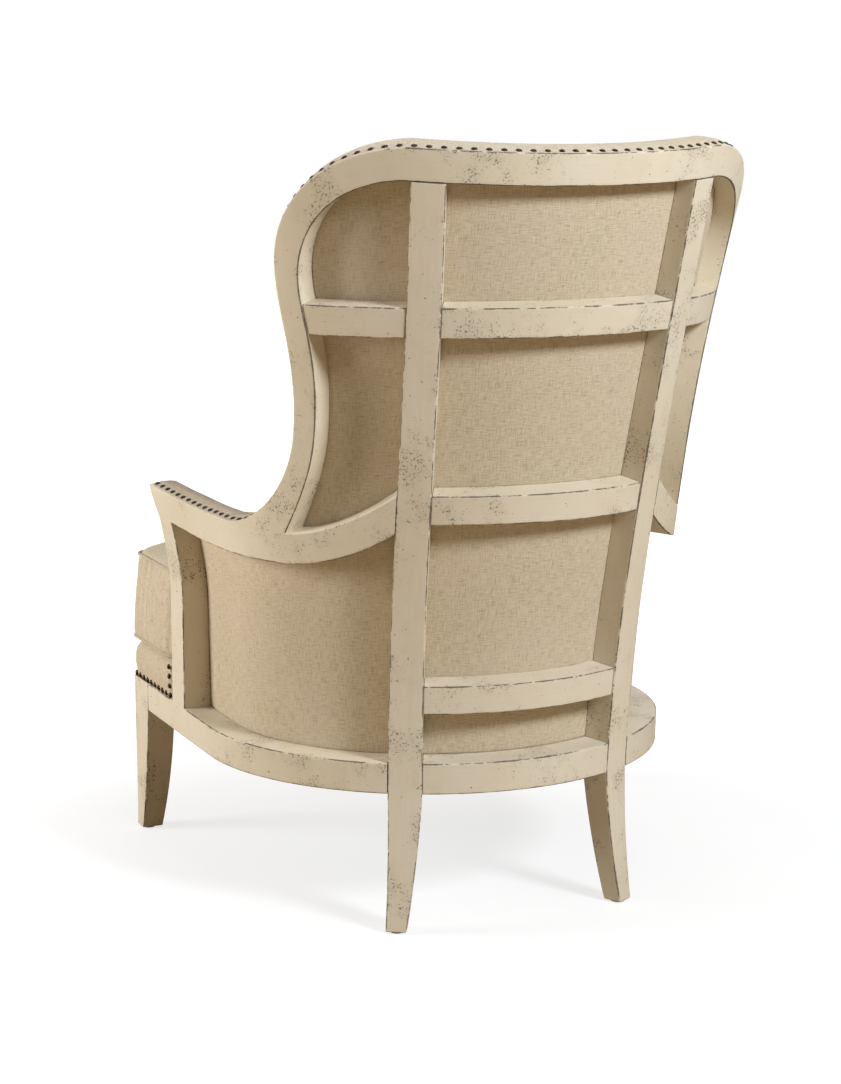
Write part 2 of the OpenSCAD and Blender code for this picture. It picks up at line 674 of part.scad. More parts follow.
// Outline of a T-shaped seat piece that fills the barrel at height z and passes the arm posts
function inner_wall(s, z, gap) = let (p = wall([s, z], pad_in(z) + (s < join_s ? pad_t(s, z, join_s)
    : arm_pad_t(z)) + gap)) [p[0], p[1]];
function corner(c, r, from, n) = [for (i = [0:n]) let (a = from + 90 * i / n) c + r * [cos(a), sin(a)]];
function half_outline(z, gap, front, ear, r) = let (step = -(arm_post_front + cushion_gap + 2),
    neck = inner_wall(s_at(step + 8, z), z, gap)[0]) concat(
    [for (i = [1:4]) [(ear - r) * i / 5, -front]],
    corner([ear - r, -front + r], r, -90, 4),
    corner([ear - r, step - r], r, 0, 4),
    [for (i = [0:8]) inner_wall(mix(s_at(step + 8, z), arc_end(z) * 0.66, i / 8), z, gap)],
    [for (i = [1:7]) inner_wall(arc_end(z) * 0.66 * (1 - i / 8), z, gap)]);
function outline(z, gap, front, ear, r) = let (h = half_outline(z, gap, front, ear, r), n = len(h))
    concat([[0, -front]], h, [inner_wall(0, z, gap)], [for (i = [n - 1:-1:0]) [-h[i][0], h[i][1]]]);
// The outline set in by a distance, and then drawn towards a place near the front by a share
heart = [0, -280];
platform_gap = 3;
function set_in(p, e) = let (n = len(p)) [for (i = [0:n - 1])
    let (t = unit(p[(i + 1) % n] - p[(i + n - 1) % n])) p[i] + e * [-t[1], t[0]]];
function ring(points, e, share, h) = [for (p = set_in(points, e))
    let (c = heart + (p - heart) * share) [c[0], c[1], h]];

function platform_ring(e, z) = ring(outline(z, platform_gap, leg_front - 2, barrel_radius - 2, 8), e, 1, z);
module seat_platform() {
    roll = platform_roll;
    color(linen) in_place() loft_from_heart([platform_ring(3, cover_low), platform_ring(0.5, cover_low + 8),
        platform_ring(0, platform_z - roll), platform_ring(roll * 0.1, platform_z - roll * 0.6),
        platform_ring(roll * 0.35, platform_z - roll * 0.2), platform_ring(roll * 0.8, platform_z)]);
}

cushion_low = cushion_z + welt_d / 2;
cushion_high = cushion_low + boxing;
ear_half = barrel_radius + ear_overhang;
cushion_edge = welt_d + soft_gap;
function cushion_plan(z) = outline(z, cushion_gap, cushion_front, ear_half
    - (z - cushion_low) / boxing * ear_taper, cushion_corner);
function side_ring(t) = let (z = mix(cushion_low, cushion_high, t))
    ring(cushion_plan(z), cushion_edge + draw_in * 4 * t * (1 - t), 1, z);
function crown_ring(share, rise) = ring(cushion_plan(cushion_high), cushion_edge, share,
    cushion_high + crown * rise);
module seat_cushion() {
    foot = cushion_plan(cushion_low);
    color(linen) in_place() loft_from_heart([ring(foot, cushion_edge, 0.6, cushion_z),
        ring(foot, cushion_edge + 6, 1, cushion_z), side_ring(0), side_ring(0.25), side_ring(0.5),
        side_ring(0.75), side_ring(1), crown_ring(0.93, 0.4), crown_ring(0.8, 0.72), crown_ring(0.55, 0.94),
        crown_ring(0.25, 1)]);
}

// A cord that closes on itself round a ring of points
module closed_cord(points, d) {
    n = len(points);
    k = 5;
    rings = [for (i = [0:n - 1]) let (p = points[i], t = unit(points[(i + 1) % n] - points[(i + n - 1) % n]),
        side = unit(cross(t, [0, 0, 1])))
        [for (j = [0:k - 1]) p + d / 2 * (side * cos(360 / k * j) + [0, 0, sin(360 / k * j)])]];
    polyhedron([for (r = rings) each r], [for (i = [0:n - 1], j = [0:k - 1])
        let (far = (i + 1) % n * k, a = i * k + j, b = i * k + (j + 1) % k, c = far + j,
            e = far + (j + 1) % k)
        each [[a, b, e], [a, e, c]]]);
}

module cushion_welts() {
    color(linen) in_place() for (z = [cushion_low, cushion_high])
        closed_cord(ring(cushion_plan(z), welt_d / 2, 1, z), welt_d);
}

// Plan of the space inside the seat rails
module inside_rails() {
    half = barrel_radius - seat_depth - rail_fit;
    circle(r = half, $fn = 96);
    front = leg_front - seat_depth - rail_fit;
    translate([-half, -front]) square([2 * half, front]);
}

module seat_webbing() {
    long = 2 * barrel_radius;
    color(strap) in_place() translate([0, 0, rail_top - webbing_t]) intersection() {
        union() {
            for (i = [-2:2])
                translate([i * webbing_pitch - webbing_w / 2, -leg_front, 0])
                    cube([webbing_w, long, webbing_t / 2]);
            for (i = [-2:2])
                translate([-long / 2, i * webbing_pitch - webbing_w - leg_side / 2, webbing_t / 2])
                    cube([long, webbing_w, webbing_t / 2]);
        }
        linear_extrude(webbing_t) inside_rails();
    }
}

module dust_cover() {
    color(lining) in_place() translate([0, 0, rail_base + 1]) linear_extrude(1) inside_rails();
}

crest_rail();
left_wing_stile();
right_wing_stile();
left_arm_rail();
right_arm_rail();
left_arm_post();
right_arm_post();
left_rear_post();
right_rear_post();
upper_slat();
middle_slat();
lower_slat();
left_side_slat();
right_side_slat();
back_seat_rail();
left_seat_rail();
right_seat_rail();
front_seat_rail();
left_front_leg();
right_front_leg();
corner_blocks();
block_screws();
foot_glides();
outside_back();
left_outside_wing();
right_outside_wing();
left_outside_arm();
right_outside_arm();
inside_back();
left_inside_arm();
right_inside_arm();
crest_pad();
left_arm_pad();
right_arm_pad();
seat_webbing();
seat_platform();
dust_cover();
seat_cushion();
cushion_welts();
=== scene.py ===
import math
import bmesh
import bpy
import numpy as np
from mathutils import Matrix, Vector
from mathutils.kdtree import KDTree


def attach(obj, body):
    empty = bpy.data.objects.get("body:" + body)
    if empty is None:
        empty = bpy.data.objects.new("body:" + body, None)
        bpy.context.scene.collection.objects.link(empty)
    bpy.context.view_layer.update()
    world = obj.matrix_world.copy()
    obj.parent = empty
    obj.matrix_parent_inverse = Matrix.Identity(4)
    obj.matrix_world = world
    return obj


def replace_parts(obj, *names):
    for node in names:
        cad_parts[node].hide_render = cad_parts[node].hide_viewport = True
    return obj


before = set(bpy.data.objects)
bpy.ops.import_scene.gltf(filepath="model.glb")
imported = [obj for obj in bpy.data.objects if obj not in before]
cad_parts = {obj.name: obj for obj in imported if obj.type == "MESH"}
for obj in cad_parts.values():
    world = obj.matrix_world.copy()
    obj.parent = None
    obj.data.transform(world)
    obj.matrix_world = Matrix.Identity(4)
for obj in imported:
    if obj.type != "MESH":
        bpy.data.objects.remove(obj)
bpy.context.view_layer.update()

# A barrel-back wing chair with an open painted frame, nailed linen and a loose cushion.
# The chair's own sizes, in millimetres, as the part has them
BARREL, FLARE, FLARE_POWER = 357.0, 73.0, 2.4
LEAN, LEAN_CURVE = 184.0, (0.25, 1.62, 0.87)
RAIL_BASE, RAIL_FACE, ARM, CREST = 205.0, 46.0, 580.0, 1114.0
RAIL_TOP = RAIL_BASE + RAIL_FACE
SEAT_DEPTH, CREST_DEPTH = 45.0, 31.0
# Crest rail and wing stiles
CREST_FACE, CREST_BOW, CREST_JOINT = 44.0, 8.0, 250.0
WING_REACH, WING_FULL, WAIST_REACH, WAIST, WAIST_FACE = 440.0, 975.0, 388.0, 725.0, 38.0
# Slats, and rear posts with their legs
SLATS, SLAT_FACE, SLAT_INSET = (324.0, 604.0, 867.0), 42.0, 2.0
POST_FACE, POST_TAPER, POST_PLACE, POST_SPREAD, SPREAD_POWER = 50.0, 1.5, 178.0, 41.0, 1.3
FOOT, REAR_SWEEP, FOOT_SHIFT, GLIDE = 29.0, 12.0, 12.0, 3.0
# Arms with their posts
ARM_FACE, ARM_REACH, ARM_SPLAY, SPLAY_POWER, BEND_Z = 46.0, 206.0, 24.0, 1.5, 430.0
ARM_RISE, RISE_START, RISE_POWER, ARM_TURN = 14.0, 40.0, 1.4, 400.0
ARM_POST_FRONT, ARM_POST_FACE, ARM_POST_TOP, POST_BOW, BOW_POWER = 180.0, 60.0, 44.0, 18.0, 1.8
ARM_LOW, ARM_JOIN = ARM - ARM_FACE, (ARM + 11, ARM + 67)
# Front legs
LEG_FRONT, LEG_SIDE, FRONT_KICK, FRONT_SHARE = 380.0, 72.0, 5.0, 0.42
# Upholstery
COVER, SOFT_GAP, GAP = 2.0, 0.3, 1.0
BACK_PAD, BACK_PAD_LOSS, THIN_PAD, WING_PAD_GAIN, WING_PAD_RUN = 52.0, 0.35, 10.0, 8.0, 60.0
ARM_PAD_FOOT, ARM_PAD_TALL, PAD_FALL, ARM_ROLL = 34.0, 180.0, 12.0, 7.5
NAIL_PITCH, NAIL_HEAD, NAIL_DOME, NAIL_TILT, NAIL_SEED = 19.5, 9.2, 0.52, 0.09, 7
# How deep the nails' row lies on the rim and the arm, and behind it its run is measured
NAIL_IN, ARM_NAIL_IN, NAIL_RUN_IN = 8.2, 9.5, 9.0
# How far below the rim the linen turns, at the wings and the crest, and how high it stands over it
EDGE_DROP, DROP_START, RIM_HEIGHTS = (4, 15), 75, (3.8, 4.6)
COVER_FACE, COVER_BACK, SWELL_RATE = -0.85, 0.6, 2.4
# Seat
PLATFORM, DECK_ROLL, DECK_GAP = 300.0, 310.5, 3.2
CUSHION_FRONT, EAR, EAR_TAPER, CORNER, CUSHION_GAP = 406.0, 357.0, 9.0, 30.0, 6.0
BOXING, CROWN, WELT = 146.0, 30.0, 6.0
CUSHION_LOW = PLATFORM + SOFT_GAP + WELT / 2
CUSHION_HIGH = CUSHION_LOW + BOXING
STRAP, STRAP_PITCH, STRAP_T, STRAP_WAVE = 50.0, 105.0, 0.7, 0.55
HEART = np.array([0.0, -280.0])
MID_Y = (BARREL + LEAN - CUSHION_FRONT) / 2


def mix(a, b, t):
    return a + (b - a) * t


def limit(t):
    return np.clip(t, 0.0, 1.0)


def smooth(t):
    t = limit(t)
    return t * t * (3 - 2 * t)


def unit(v):
    return v / np.linalg.norm(v, axis=-1, keepdims=True)


def places(*parts):
    """Puts numbers or lists side by side, such as [s, z] places on the wall"""
    return np.stack(np.broadcast_arrays(*(np.asarray(p, float) for p in parts)), -1)


def lengths(points):
    steps = np.linalg.norm(np.diff(points, axis=0), axis=1)
    return np.concatenate([[0], np.cumsum(steps)])


def bezier(p, t):
    p, t = np.array(p, float), np.asarray(t, float)[..., None]
    return (1 - t) ** 3 * p[0] + 3 * t * (1 - t) ** 2 * p[1] + 3 * t * t * (1 - t) * p[2] + t**3 * p[3]


# The barrel that every member lies on: a place is its length round the back, and its height
def climb(z):
    """The share of the way from the seat rail's foot to the crest"""
    return np.maximum(z - RAIL_BASE, 0) / (CREST - RAIL_BASE)


def lean(z):
    t = climb(z)
    return LEAN * t * (LEAN_CURVE[0] + LEAN_CURVE[1] * t - LEAN_CURVE[2] * t * t)


def radius(z):
    return BARREL + FLARE * (np.maximum(z - ARM, 0) / (CREST - ARM)) ** FLARE_POWER


def arc_end(z):
    """The length round the wall where its half circle ends and the straight arm begins"""
    return radius(z) * np.pi / 2


def s_at(y, z):
    """The length round the wall to a place on the arm, y behind the barrel's middle"""
    return arc_end(z) + lean(z) - y


def bend(z):
    """How far an arm post has bent outwards at height z, from 0 to 1 at the arm"""
    return limit((z - BEND_Z) / (ARM - BEND_Z))


def wall_face(s, z):
    """The place on the barrel's outer face"""
    s, z = np.broadcast_arrays(np.asarray(s, float), np.asarray(z, float))
    r, run = radius(z), np.maximum(np.abs(s) - arc_end(z), 0)
    a = np.minimum(np.abs(s) / r, np.pi / 2)
    splay = ARM_SPLAY * bend(z) ** SPLAY_POWER * run / (s_at(-ARM_REACH, ARM) - arc_end(ARM))
    x, y = np.sign(s) * (r * np.sin(a) + splay), lean(z) - (r - BARREL) + r * np.cos(a) - run
    return np.stack([x, y, z], -1)


def inward(s, z):
    """The way square into the wall"""
    return unit(np.cross(wall_face(s + 0.5, z) - wall_face(s - 0.5, z),
                         wall_face(s, z + 0.5) - wall_face(s, z - 0.5)))


def wall(s, z, d):
    """The place at depth d behind the barrel's outer face"""
    s, z, d = np.broadcast_arrays(np.asarray(s, float), np.asarray(z, float), np.asarray(d, float))
    return wall_face(s, z) + d[..., None] * inward(s, z)


def arm_wall(s, z, d):
    """As wall, with the depth taken level and its turn eased where the arm begins to splay"""
    s, z, d = np.broadcast_arrays(np.asarray(s, float), np.asarray(z, float), np.asarray(d, float))
    way = unit(sum(inward(s + off, np.full_like(s, ARM + 2)) for off in (-20, -10, 0, 10, 20)))
    return wall_face(s, z) + d[..., None] * way


def depth(z):
    """Depth of the painted members"""
    return mix(SEAT_DEPTH, CREST_DEPTH, limit(climb(z)))


def crest_top(s):
    return CREST + CREST_BOW * (s / CREST_JOINT) ** 2


def crest_foot(s):
    return crest_top(s) - CREST_FACE


def post_mid(z):
    return POST_PLACE + POST_SPREAD * limit(climb(z)) ** SPREAD_POWER


def post_half(z):
    return POST_FACE / 2 - POST_TAPER * climb(z)


def post_in(z):
    return post_mid(z) - post_half(z)


def post_out(z):
    return post_mid(z) + post_half(z)


# A wing's outer and inner edge, each in three curves: to its fullest place, its waist and the arm
JOINT_TOP = crest_top(CREST_JOINT)
OUTER_WING = (
    [(CREST_JOINT, JOINT_TOP), (CREST_JOINT + 110, JOINT_TOP - 2),
     (WING_REACH, WING_FULL + 75), (WING_REACH, WING_FULL)],
    [(WING_REACH, WING_FULL), (WING_REACH, WING_FULL - 70), (WAIST_REACH, WAIST + 110), (WAIST_REACH, WAIST)],
    [(WAIST_REACH, WAIST), (WAIST_REACH, WAIST - 85), (WAIST_REACH + 62, ARM), (WAIST_REACH + 150, ARM)])
IN_REACH, IN_WAIST, JOINT_FOOT = WING_REACH - CREST_FACE, WAIST_REACH - WAIST_FACE, JOINT_TOP - CREST_FACE
INNER_WING = (
    [(CREST_JOINT, JOINT_FOOT), (CREST_JOINT + 88, JOINT_FOOT - 2),
     (IN_REACH, WING_FULL + 48), (IN_REACH, WING_FULL - 20)],
    [(IN_REACH, WING_FULL - 20), (IN_REACH, WING_FULL - 75), (IN_WAIST, WAIST + 124), (IN_WAIST, WAIST - 3)],
    [(IN_WAIST, WAIST - 3), (IN_WAIST, WAIST - 58), (WAIST_REACH - 17, ARM + 38), (WAIST_REACH, ARM)])


def along(curves, t):
    t = np.asarray(t, float)
    part = np.clip(t.astype(int), 0, 2)
    out = np.zeros(t.shape + (2,))
    for k in range(3):
        out = np.where((part == k)[..., None], bezier(curves[k], t - k), out)
    return out


def wing_edge(t):
    return along(OUTER_WING, t)


def wing_inner(t):
    return along(INNER_WING, t)


def s_on(edge, z):
    """How far round the wall an edge that falls all the way passes height z"""
    return np.interp(-z, -edge[:, 1], edge[:, 0])


def rise(s):
    """How far an arm has risen above its level, towards its tip"""
    start = arc_end(ARM) + RISE_START
    return ARM_RISE * limit((s - start) / (s_at(-ARM_REACH, ARM) - start)) ** RISE_POWER


def arm_post_fore(z):
    return ARM_POST_FRONT + POST_BOW * bend(z) ** BOW_POWER


def arm_post_rear(z):
    return arm_post_fore(z) - mix(ARM_POST_FACE, ARM_POST_TOP, bend(z) ** BOW_POWER)


def arm_edge(t, top):
    """The top or foot of an arm rail, from its joint with the rear post at 0 to the arm's tip at 2"""
    t = np.asarray(t, float)
    z, join, lift, reach = (ARM, ARM_JOIN[1], 35, 325) if top else (ARM_LOW, ARM_JOIN[0], 22, 330)
    first = [(post_out(join), join), (262, z + lift), (reach, z), (ARM_TURN, z)]
    end = s_at(-ARM_REACH, ARM) if top else s_at(-arm_post_fore(ARM_LOW), ARM_LOW)
    s = mix(ARM_TURN, end, t - 1)
    return np.where((t < 1)[..., None], bezier(first, np.minimum(t, 1)), places(s, z + rise(s)))


def rim(u):
    """The upper edge of the crest and wings: the crest for u from -1 to 1, and the wings beyond"""
    u = np.asarray(u, float)
    v = np.abs(u)
    s = CREST_JOINT * np.minimum(v, 1)
    p = np.where((v < 1)[..., None], places(s, crest_top(s)), wing_edge(np.maximum(v - 1, 0)))
    return p * places(np.where(u < 0, -1.0, 1.0), 1)


def rim_out(u):
    t = unit(rim(u + 0.01) - rim(u - 0.01))
    return places(-t[..., 1], t[..., 0])


# Meshes
def in_place(points):
    """From millimetres about the barrel's middle to metres in the part's frame"""
    p = np.array(points, float).reshape(-1, 3)
    p[:, 1] -= MID_Y
    return p / 1000


def with_bmesh(mesh, change):
    work = bmesh.new()
    work.from_mesh(mesh)
    change(work)
    work.to_mesh(mesh)
    work.free()


def relax(mesh, times):
    def change(work):
        for _ in range(times):
            bmesh.ops.smooth_vert(work, verts=work.verts, factor=0.4, use_axis_x=True, use_axis_y=True,
                                  use_axis_z=True)

    with_bmesh(mesh, change)


def settle(obj, body, nodes=()):
    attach(obj, body)
    if nodes:
        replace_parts(obj, *nodes)
    return obj


def link(name, data):
    obj = bpy.data.objects.new(name, data)
    bpy.context.scene.collection.objects.link(obj)
    return obj


def piece(name, points, faces, finish, uv=None, marks=None, body="frame", slot="linen", nodes=()):
    """A mesh object from points in millimetres, and one place in millimetres on its cloth for each"""
    mesh = bpy.data.meshes.new(name)
    mesh.from_pydata(in_place(points).tolist(), [], [tuple(int(i) for i in f) for f in faces])
    mesh.update()
    with_bmesh(mesh, lambda work: bmesh.ops.recalc_face_normals(work, faces=work.faces))
    mesh.shade_smooth()
    if uv is not None:
        layer = mesh.uv_layers.new(name="cloth")
        loops = np.zeros(len(mesh.loops), int)
        mesh.loops.foreach_get("vertex_index", loops)
        layer.data.foreach_set("uv", (np.asarray(uv, float)[loops] / 1000).astype(np.float32).ravel())
    for key, values in (marks or {}).items():
        mark = mesh.attributes.new(key, "FLOAT", "POINT")
        mark.data.foreach_set("value", np.asarray(values, np.float32).ravel())
    mesh.materials.append(finish)
    return settle(link(name, mesh), body, nodes)


def take_shape(obj, smooth_all=True):
    """Makes a piece's modifiers its own mesh"""
    bpy.context.view_layer.update()
    graph = bpy.context.evaluated_depsgraph_get()
    made = bpy.data.meshes.new_from_object(obj.evaluated_get(graph), preserve_all_data_layers=True,
                                           depsgraph=graph)
    old = obj.data
    obj.modifiers.clear()
    obj.data = made
    made.name = old.name
    if not made.materials:
        made.materials.append(old.materials[0])
    bpy.data.meshes.remove(old)
    if smooth_all:
        made.shade_smooth()


def sides(both, shift):
    """For each piece to make: the start of its name, how to mirror it, and how far its cloth is shifted"""
    return (("left_", 1, 0), ("right_", -1, shift)) if both else (("", 1, 0),)


def ring_faces(n, k, closed=False):
    """Faces between n rings of k points"""
    out = []
    for i in range(n if closed else n - 1):
        a, b = i * k, (i + 1) % n * k
        out += [(a + j, a + (j + 1) % k, b + (j + 1) % k, b + j) for j in range(k)]
    return out


def drum(rings, ends):
    """Points and faces of rings that close on a point at each end"""
    n, k = len(rings), len(rings[0])
    foot = [(n * k, (j + 1) % k, j) for j in range(k)]
    head = [(n * k + 1, (n - 1) * k + j, (n - 1) * k + (j + 1) % k) for j in range(k)]
    return np.concatenate(list(rings) + [ends]), ring_faces(n, k) + foot + head


def tube(rings):
    """Points and faces of rings closed at both ends by a single face"""
    n, k = len(rings), len(rings[0])
    ends = [tuple(range(k))[::-1], tuple((n - 1) * k + j for j in range(k))]
    return np.concatenate(rings), ring_faces(n, k) + ends


def grid_faces(rows, cols, start=0):
    return [(a, a + 1, a + cols + 1, a + cols) for i in range(rows - 1)
            for a in range(start + i * cols, start + i * cols + cols - 1)]


def sew(run, far):
    """Faces from a run of places to the places that come so far after them"""
    return [(a, b, b + far, a + far) for a, b in zip(run, run[1:])]


# Finishes
def fill(tree, socket, value):
    """Joins another node's output to a socket, or sets its number or colour"""
    value = value.socket if isinstance(value, Value) else value
    if isinstance(value, bpy.types.NodeSocket):
        tree.links.new(value, socket)
    else:
        socket.default_value = (*value, 1) if socket.type == "RGBA" else value


def add_node(tree, kind, values=None, out=0, **settings):
    """Adds a node and returns one of its outputs"""
    made = tree.nodes.new(kind)
    for key, value in settings.items():
        setattr(made, key, value)
    for key, value in (values or {}).items():
        fill(tree, made.inputs[key], value)
    return made.outputs[out]


class Value:
    """A socket of a finish's nodes, on which sums are written"""

    def __init__(self, finish, socket):
        self.finish, self.socket = finish, socket

    def maths(self, kind, *others):
        return self.finish.node("ShaderNodeMath", dict(enumerate((self, *others))), operation=kind)

    def __add__(self, other):
        return self.maths("ADD", other)

    def __sub__(self, other):
        return self.maths("SUBTRACT", other)

    def __mul__(self, other):
        return self.maths("MULTIPLY", other)

    def __pow__(self, other):
        return self.maths("POWER", other)

    __radd__ = __add__


class Finish:
    """One material and its nodes"""

    def __init__(self, name, **fixed):
        self.material = bpy.data.materials.new(name)
        self.material.use_nodes = True
        self.tree = self.material.node_tree
        self.tree.nodes.clear()
        self.surface = self.tree.nodes.new("ShaderNodeBsdfPrincipled")
        self.result = self.tree.nodes.new("ShaderNodeOutputMaterial")
        self.tree.links.new(self.surface.outputs[0], self.result.inputs[0])
        for key, value in fixed.items():
            self.surface.inputs[key.replace("_", " ").title().replace("Ior", "IOR")].default_value = value

    def node(self, kind, values=None, out=0, **settings):
        return Value(self, add_node(self.tree, kind, values, out, **settings))

    def place(self):
        return self.node("ShaderNodeTexCoord", out="Object")

    def cloth_place(self):
        both = self.node("ShaderNodeUVMap", uv_map="cloth")
        parts = self.node("ShaderNodeSeparateXYZ", {0: both}).socket.node.outputs
        return Value(self, parts[0]), Value(self, parts[1])

    def at(self, x, y, z=0.0):
        return self.node("ShaderNodeCombineXYZ", {0: x, 1: y, 2: z})

    def noise(self, where, scale, detail=2.0, rough=0.5):
        return self.node("ShaderNodeTexNoise",
                         {"Vector": where, "Scale": scale, "Detail": detail, "Roughness": rough})

    def ramp(self, value, low, high, to_low=0.0, to_high=1.0):
        return self.node("ShaderNodeMapRange", {"Value": value, "From Min": low, "From Max": high,
                                                "To Min": to_low, "To Max": to_high},
                         interpolation_type="SMOOTHSTEP")

    def blend(self, share, a, b):
        return self.node("ShaderNodeMix", {0: share, 6: a, 7: b}, out=2, data_type="RGBA")

    def mark(self, name):
        return self.node("ShaderNodeAttribute", out="Fac", attribute_name=name)

    def bump(self, height, distance, strength=1.0):
        return self.node("ShaderNodeBump", {"Height": height, "Distance": distance, "Strength": strength})

    def done(self, colour, roughness=None, normal=None):
        for key, value in (("Base Color", colour), ("Roughness", roughness), ("Normal", normal)):
            if value is not None:
                fill(self.tree, self.surface.inputs[key], value)
        return self.material


def antiqued_ivory_paint():
    """Satin ivory paint, brushed along each member, flyspecked in drifts and rubbed through at its arrises"""
    ivory, pale_ivory, honey = (0.690, 0.615, 0.475), (0.730, 0.665, 0.545), (0.610, 0.510, 0.365)
    brushed, drifted, specked = (0.560, 0.475, 0.345), (0.440, 0.385, 0.285), (0.120, 0.100, 0.070)
    dirt, wood = (0.400, 0.320, 0.205), (0.085, 0.066, 0.046)
    f = Finish("antiqued_ivory_paint", specular_ior_level=0.35)
    place = f.place()
    run, around = f.cloth_place()
    cloud, patch = f.noise(place, 5.0, 3), f.noise(place, 26.0, 4, 0.6)
    streak = f.noise(f.at(run * 14, around * 420), 1.0, 3, 0.55)
    ragged, grit = f.noise(place, 95.0, 6, 0.68), f.noise(place, 330.0, 4, 0.70)
    edge, joint = f.mark("edge"), f.mark("joint")
    colour = f.blend(f.ramp(cloud, 0.3, 0.7), ivory, pale_ivory)
    colour = f.blend(f.ramp(patch, 0.50, 0.76) * 0.30, colour, honey)
    colour = f.blend(f.ramp(streak, 0.35, 0.75) * 0.14, colour, brushed)
    # drifts of fine specks, thickest near the arrises
    drift = f.noise(place, 12.0, 5, 0.70) + edge ** 2 * 0.05
    thick = f.ramp(drift, 0.50, 0.64)
    speck = f.ramp(grit + thick * 0.110, 0.662, 0.685) * f.ramp(drift, 0.44, 0.52)
    stray = f.ramp(f.noise(place, 170.0, 3, 0.6), 0.705, 0.720)
    colour = f.blend(thick * 0.18, colour, drifted)
    colour = f.blend(speck * 0.80, colour, specked)
    # broken dark lines where the paint is rubbed off, and the dirt beside them
    rub = f.noise(place, 34.0, 6, 0.72)
    worn = f.ramp(edge + rub * 0.50 + grit * 0.08, 1.225, 1.245)
    colour = f.blend(f.ramp(edge + rub * 0.4, 0.98, 1.24) * 0.30, colour, dirt)
    chip = f.ramp(ragged + edge ** 6 * 0.085, 0.705, 0.722)
    seam = f.ramp(joint + ragged * 0.10 + rub * 0.05, 1.040, 1.060)
    bare = worn
    for other in (chip, stray, seam):
        bare = bare.maths("MAXIMUM", other)
    colour = f.blend(bare * 0.86, colour, wood)
    rough = 0.46 + streak * 0.10 + bare * 0.22
    relief = streak * 0.22 + ragged * 0.22 - bare * 0.9 - speck * 0.30
    return f.done(colour, rough, f.bump(relief, 0.0003, 0.7))


def flax_linen(name="flax_linen", tone=1.0):
    """Natural linen in plain weave, with threads that thicken here and there; its raised threads are painted
    lighter, as painted highlight, and its hollows and the gaps between its threads darker, as painted shade
    """
    def shade(r, g, b):
        return (r * tone, g * tone, b * tone)

    flax, warm_flax = shade(0.560, 0.475, 0.330), shade(0.600, 0.497, 0.372)
    lit_thread, fleck = shade(0.700, 0.612, 0.460), shade(0.800, 0.715, 0.560)
    pale_slub, dark_slub = shade(0.760, 0.680, 0.530), shade(0.320, 0.245, 0.150)
    painted_hollow_shade, painted_gap_shade = shade(0.300, 0.225, 0.130), shade(0.300, 0.235, 0.150)
    f = Finish(name, sheen_weight=0.12, sheen_roughness=0.5, specular_ior_level=0.25)
    place = f.place()
    u, v = f.cloth_place()
    weft = f.noise(f.at(u * 60, v * 660), 1.0, 2, 0.5)
    warp = f.noise(f.at(u * 660, v * 60, 7.0), 1.0, 2, 0.5)
    weft_slub = f.ramp(f.noise(f.at(u * 110, v * 620, 3.0), 1.0, 2, 0.55), 0.62, 0.76)
    warp_slub = f.ramp(f.noise(f.at(u * 620, v * 80, 11.0), 1.0, 2, 0.55), 0.63, 0.77)
    per_thread = 2 * math.pi / 0.00092
    over = (u * per_thread).maths("SINE") * (v * per_thread).maths("SINE")
    fuzz = f.noise(place, 900.0, 2, 0.6)
    colour = f.blend(f.ramp(f.noise(place, 7.0, 3), 0.38, 0.62), flax, warm_flax)
    # painted highlight: the raised threads of the relief are painted lighter
    colour = f.blend(f.ramp(weft + warp, 0.80, 1.22) * 0.9, colour, lit_thread)
    colour = f.blend(f.ramp(f.noise(place, 560.0, 2, 0.6), 0.57, 0.70) * 0.5, colour, fleck)
    # painted shade: the low places of the relief are painted darker
    colour = f.blend(f.ramp(weft + warp * 0.9 + fuzz * 0.45, 1.07, 0.84) * 0.55, colour, painted_hollow_shade)
    colour = f.blend(weft_slub * 0.62, colour, pale_slub)
    colour = f.blend(warp_slub * 0.30, colour, dark_slub)
    # painted shade in the gaps between the crossing threads
    colour = f.blend(f.ramp(over, -0.2, -1.0) * 0.30, colour, painted_gap_shade)
    relief = over * 0.35 + weft * 1.1 + warp * 1.1 + weft_slub * 0.8 + warp_slub * 0.5 + fuzz * 0.4
    return f.done(colour, 0.86 + fuzz * 0.1, f.bump(relief, 0.00035, 0.8))


def antique_bronze():
    """Dome nails of near-black tarnished bronze, rubbed to red in random patches"""
    f = Finish("antique_bronze", metallic=1.0, specular_ior_level=0.5)
    tarnish = f.noise(f.place(), 260.0, 4, 0.6)
    colour = f.blend(f.ramp(tarnish, 0.36, 0.66), (0.014, 0.011, 0.009), (0.060, 0.034, 0.022))
    return f.done(colour, f.ramp(tarnish, 0.3, 0.7, 0.44, 0.30), f.bump(tarnish, 0.0003, 0.5))


def plain_finish(name, light, dark, scale, roughness, metallic=0.0, grain=(1, 1, 1), relief=0.0002):
    """A colour that wanders between two tones, drawn out along the grain"""
    f = Finish(name, metallic=metallic)
    place = f.node("ShaderNodeMapping", {"Vector": f.place(), "Scale": grain})
    cloud, fine = f.noise(place, scale, 4, 0.6), f.noise(place, scale * 7, 3, 0.6)
    colour = f.blend(f.ramp(cloud * 0.7 + fine * 0.3, 0.35, 0.65), dark, light)
    return f.done(colour, f.ramp(fine, 0.3, 0.7, roughness - 0.06, roughness + 0.06),
                  f.bump(fine + cloud, relief, 0.6))


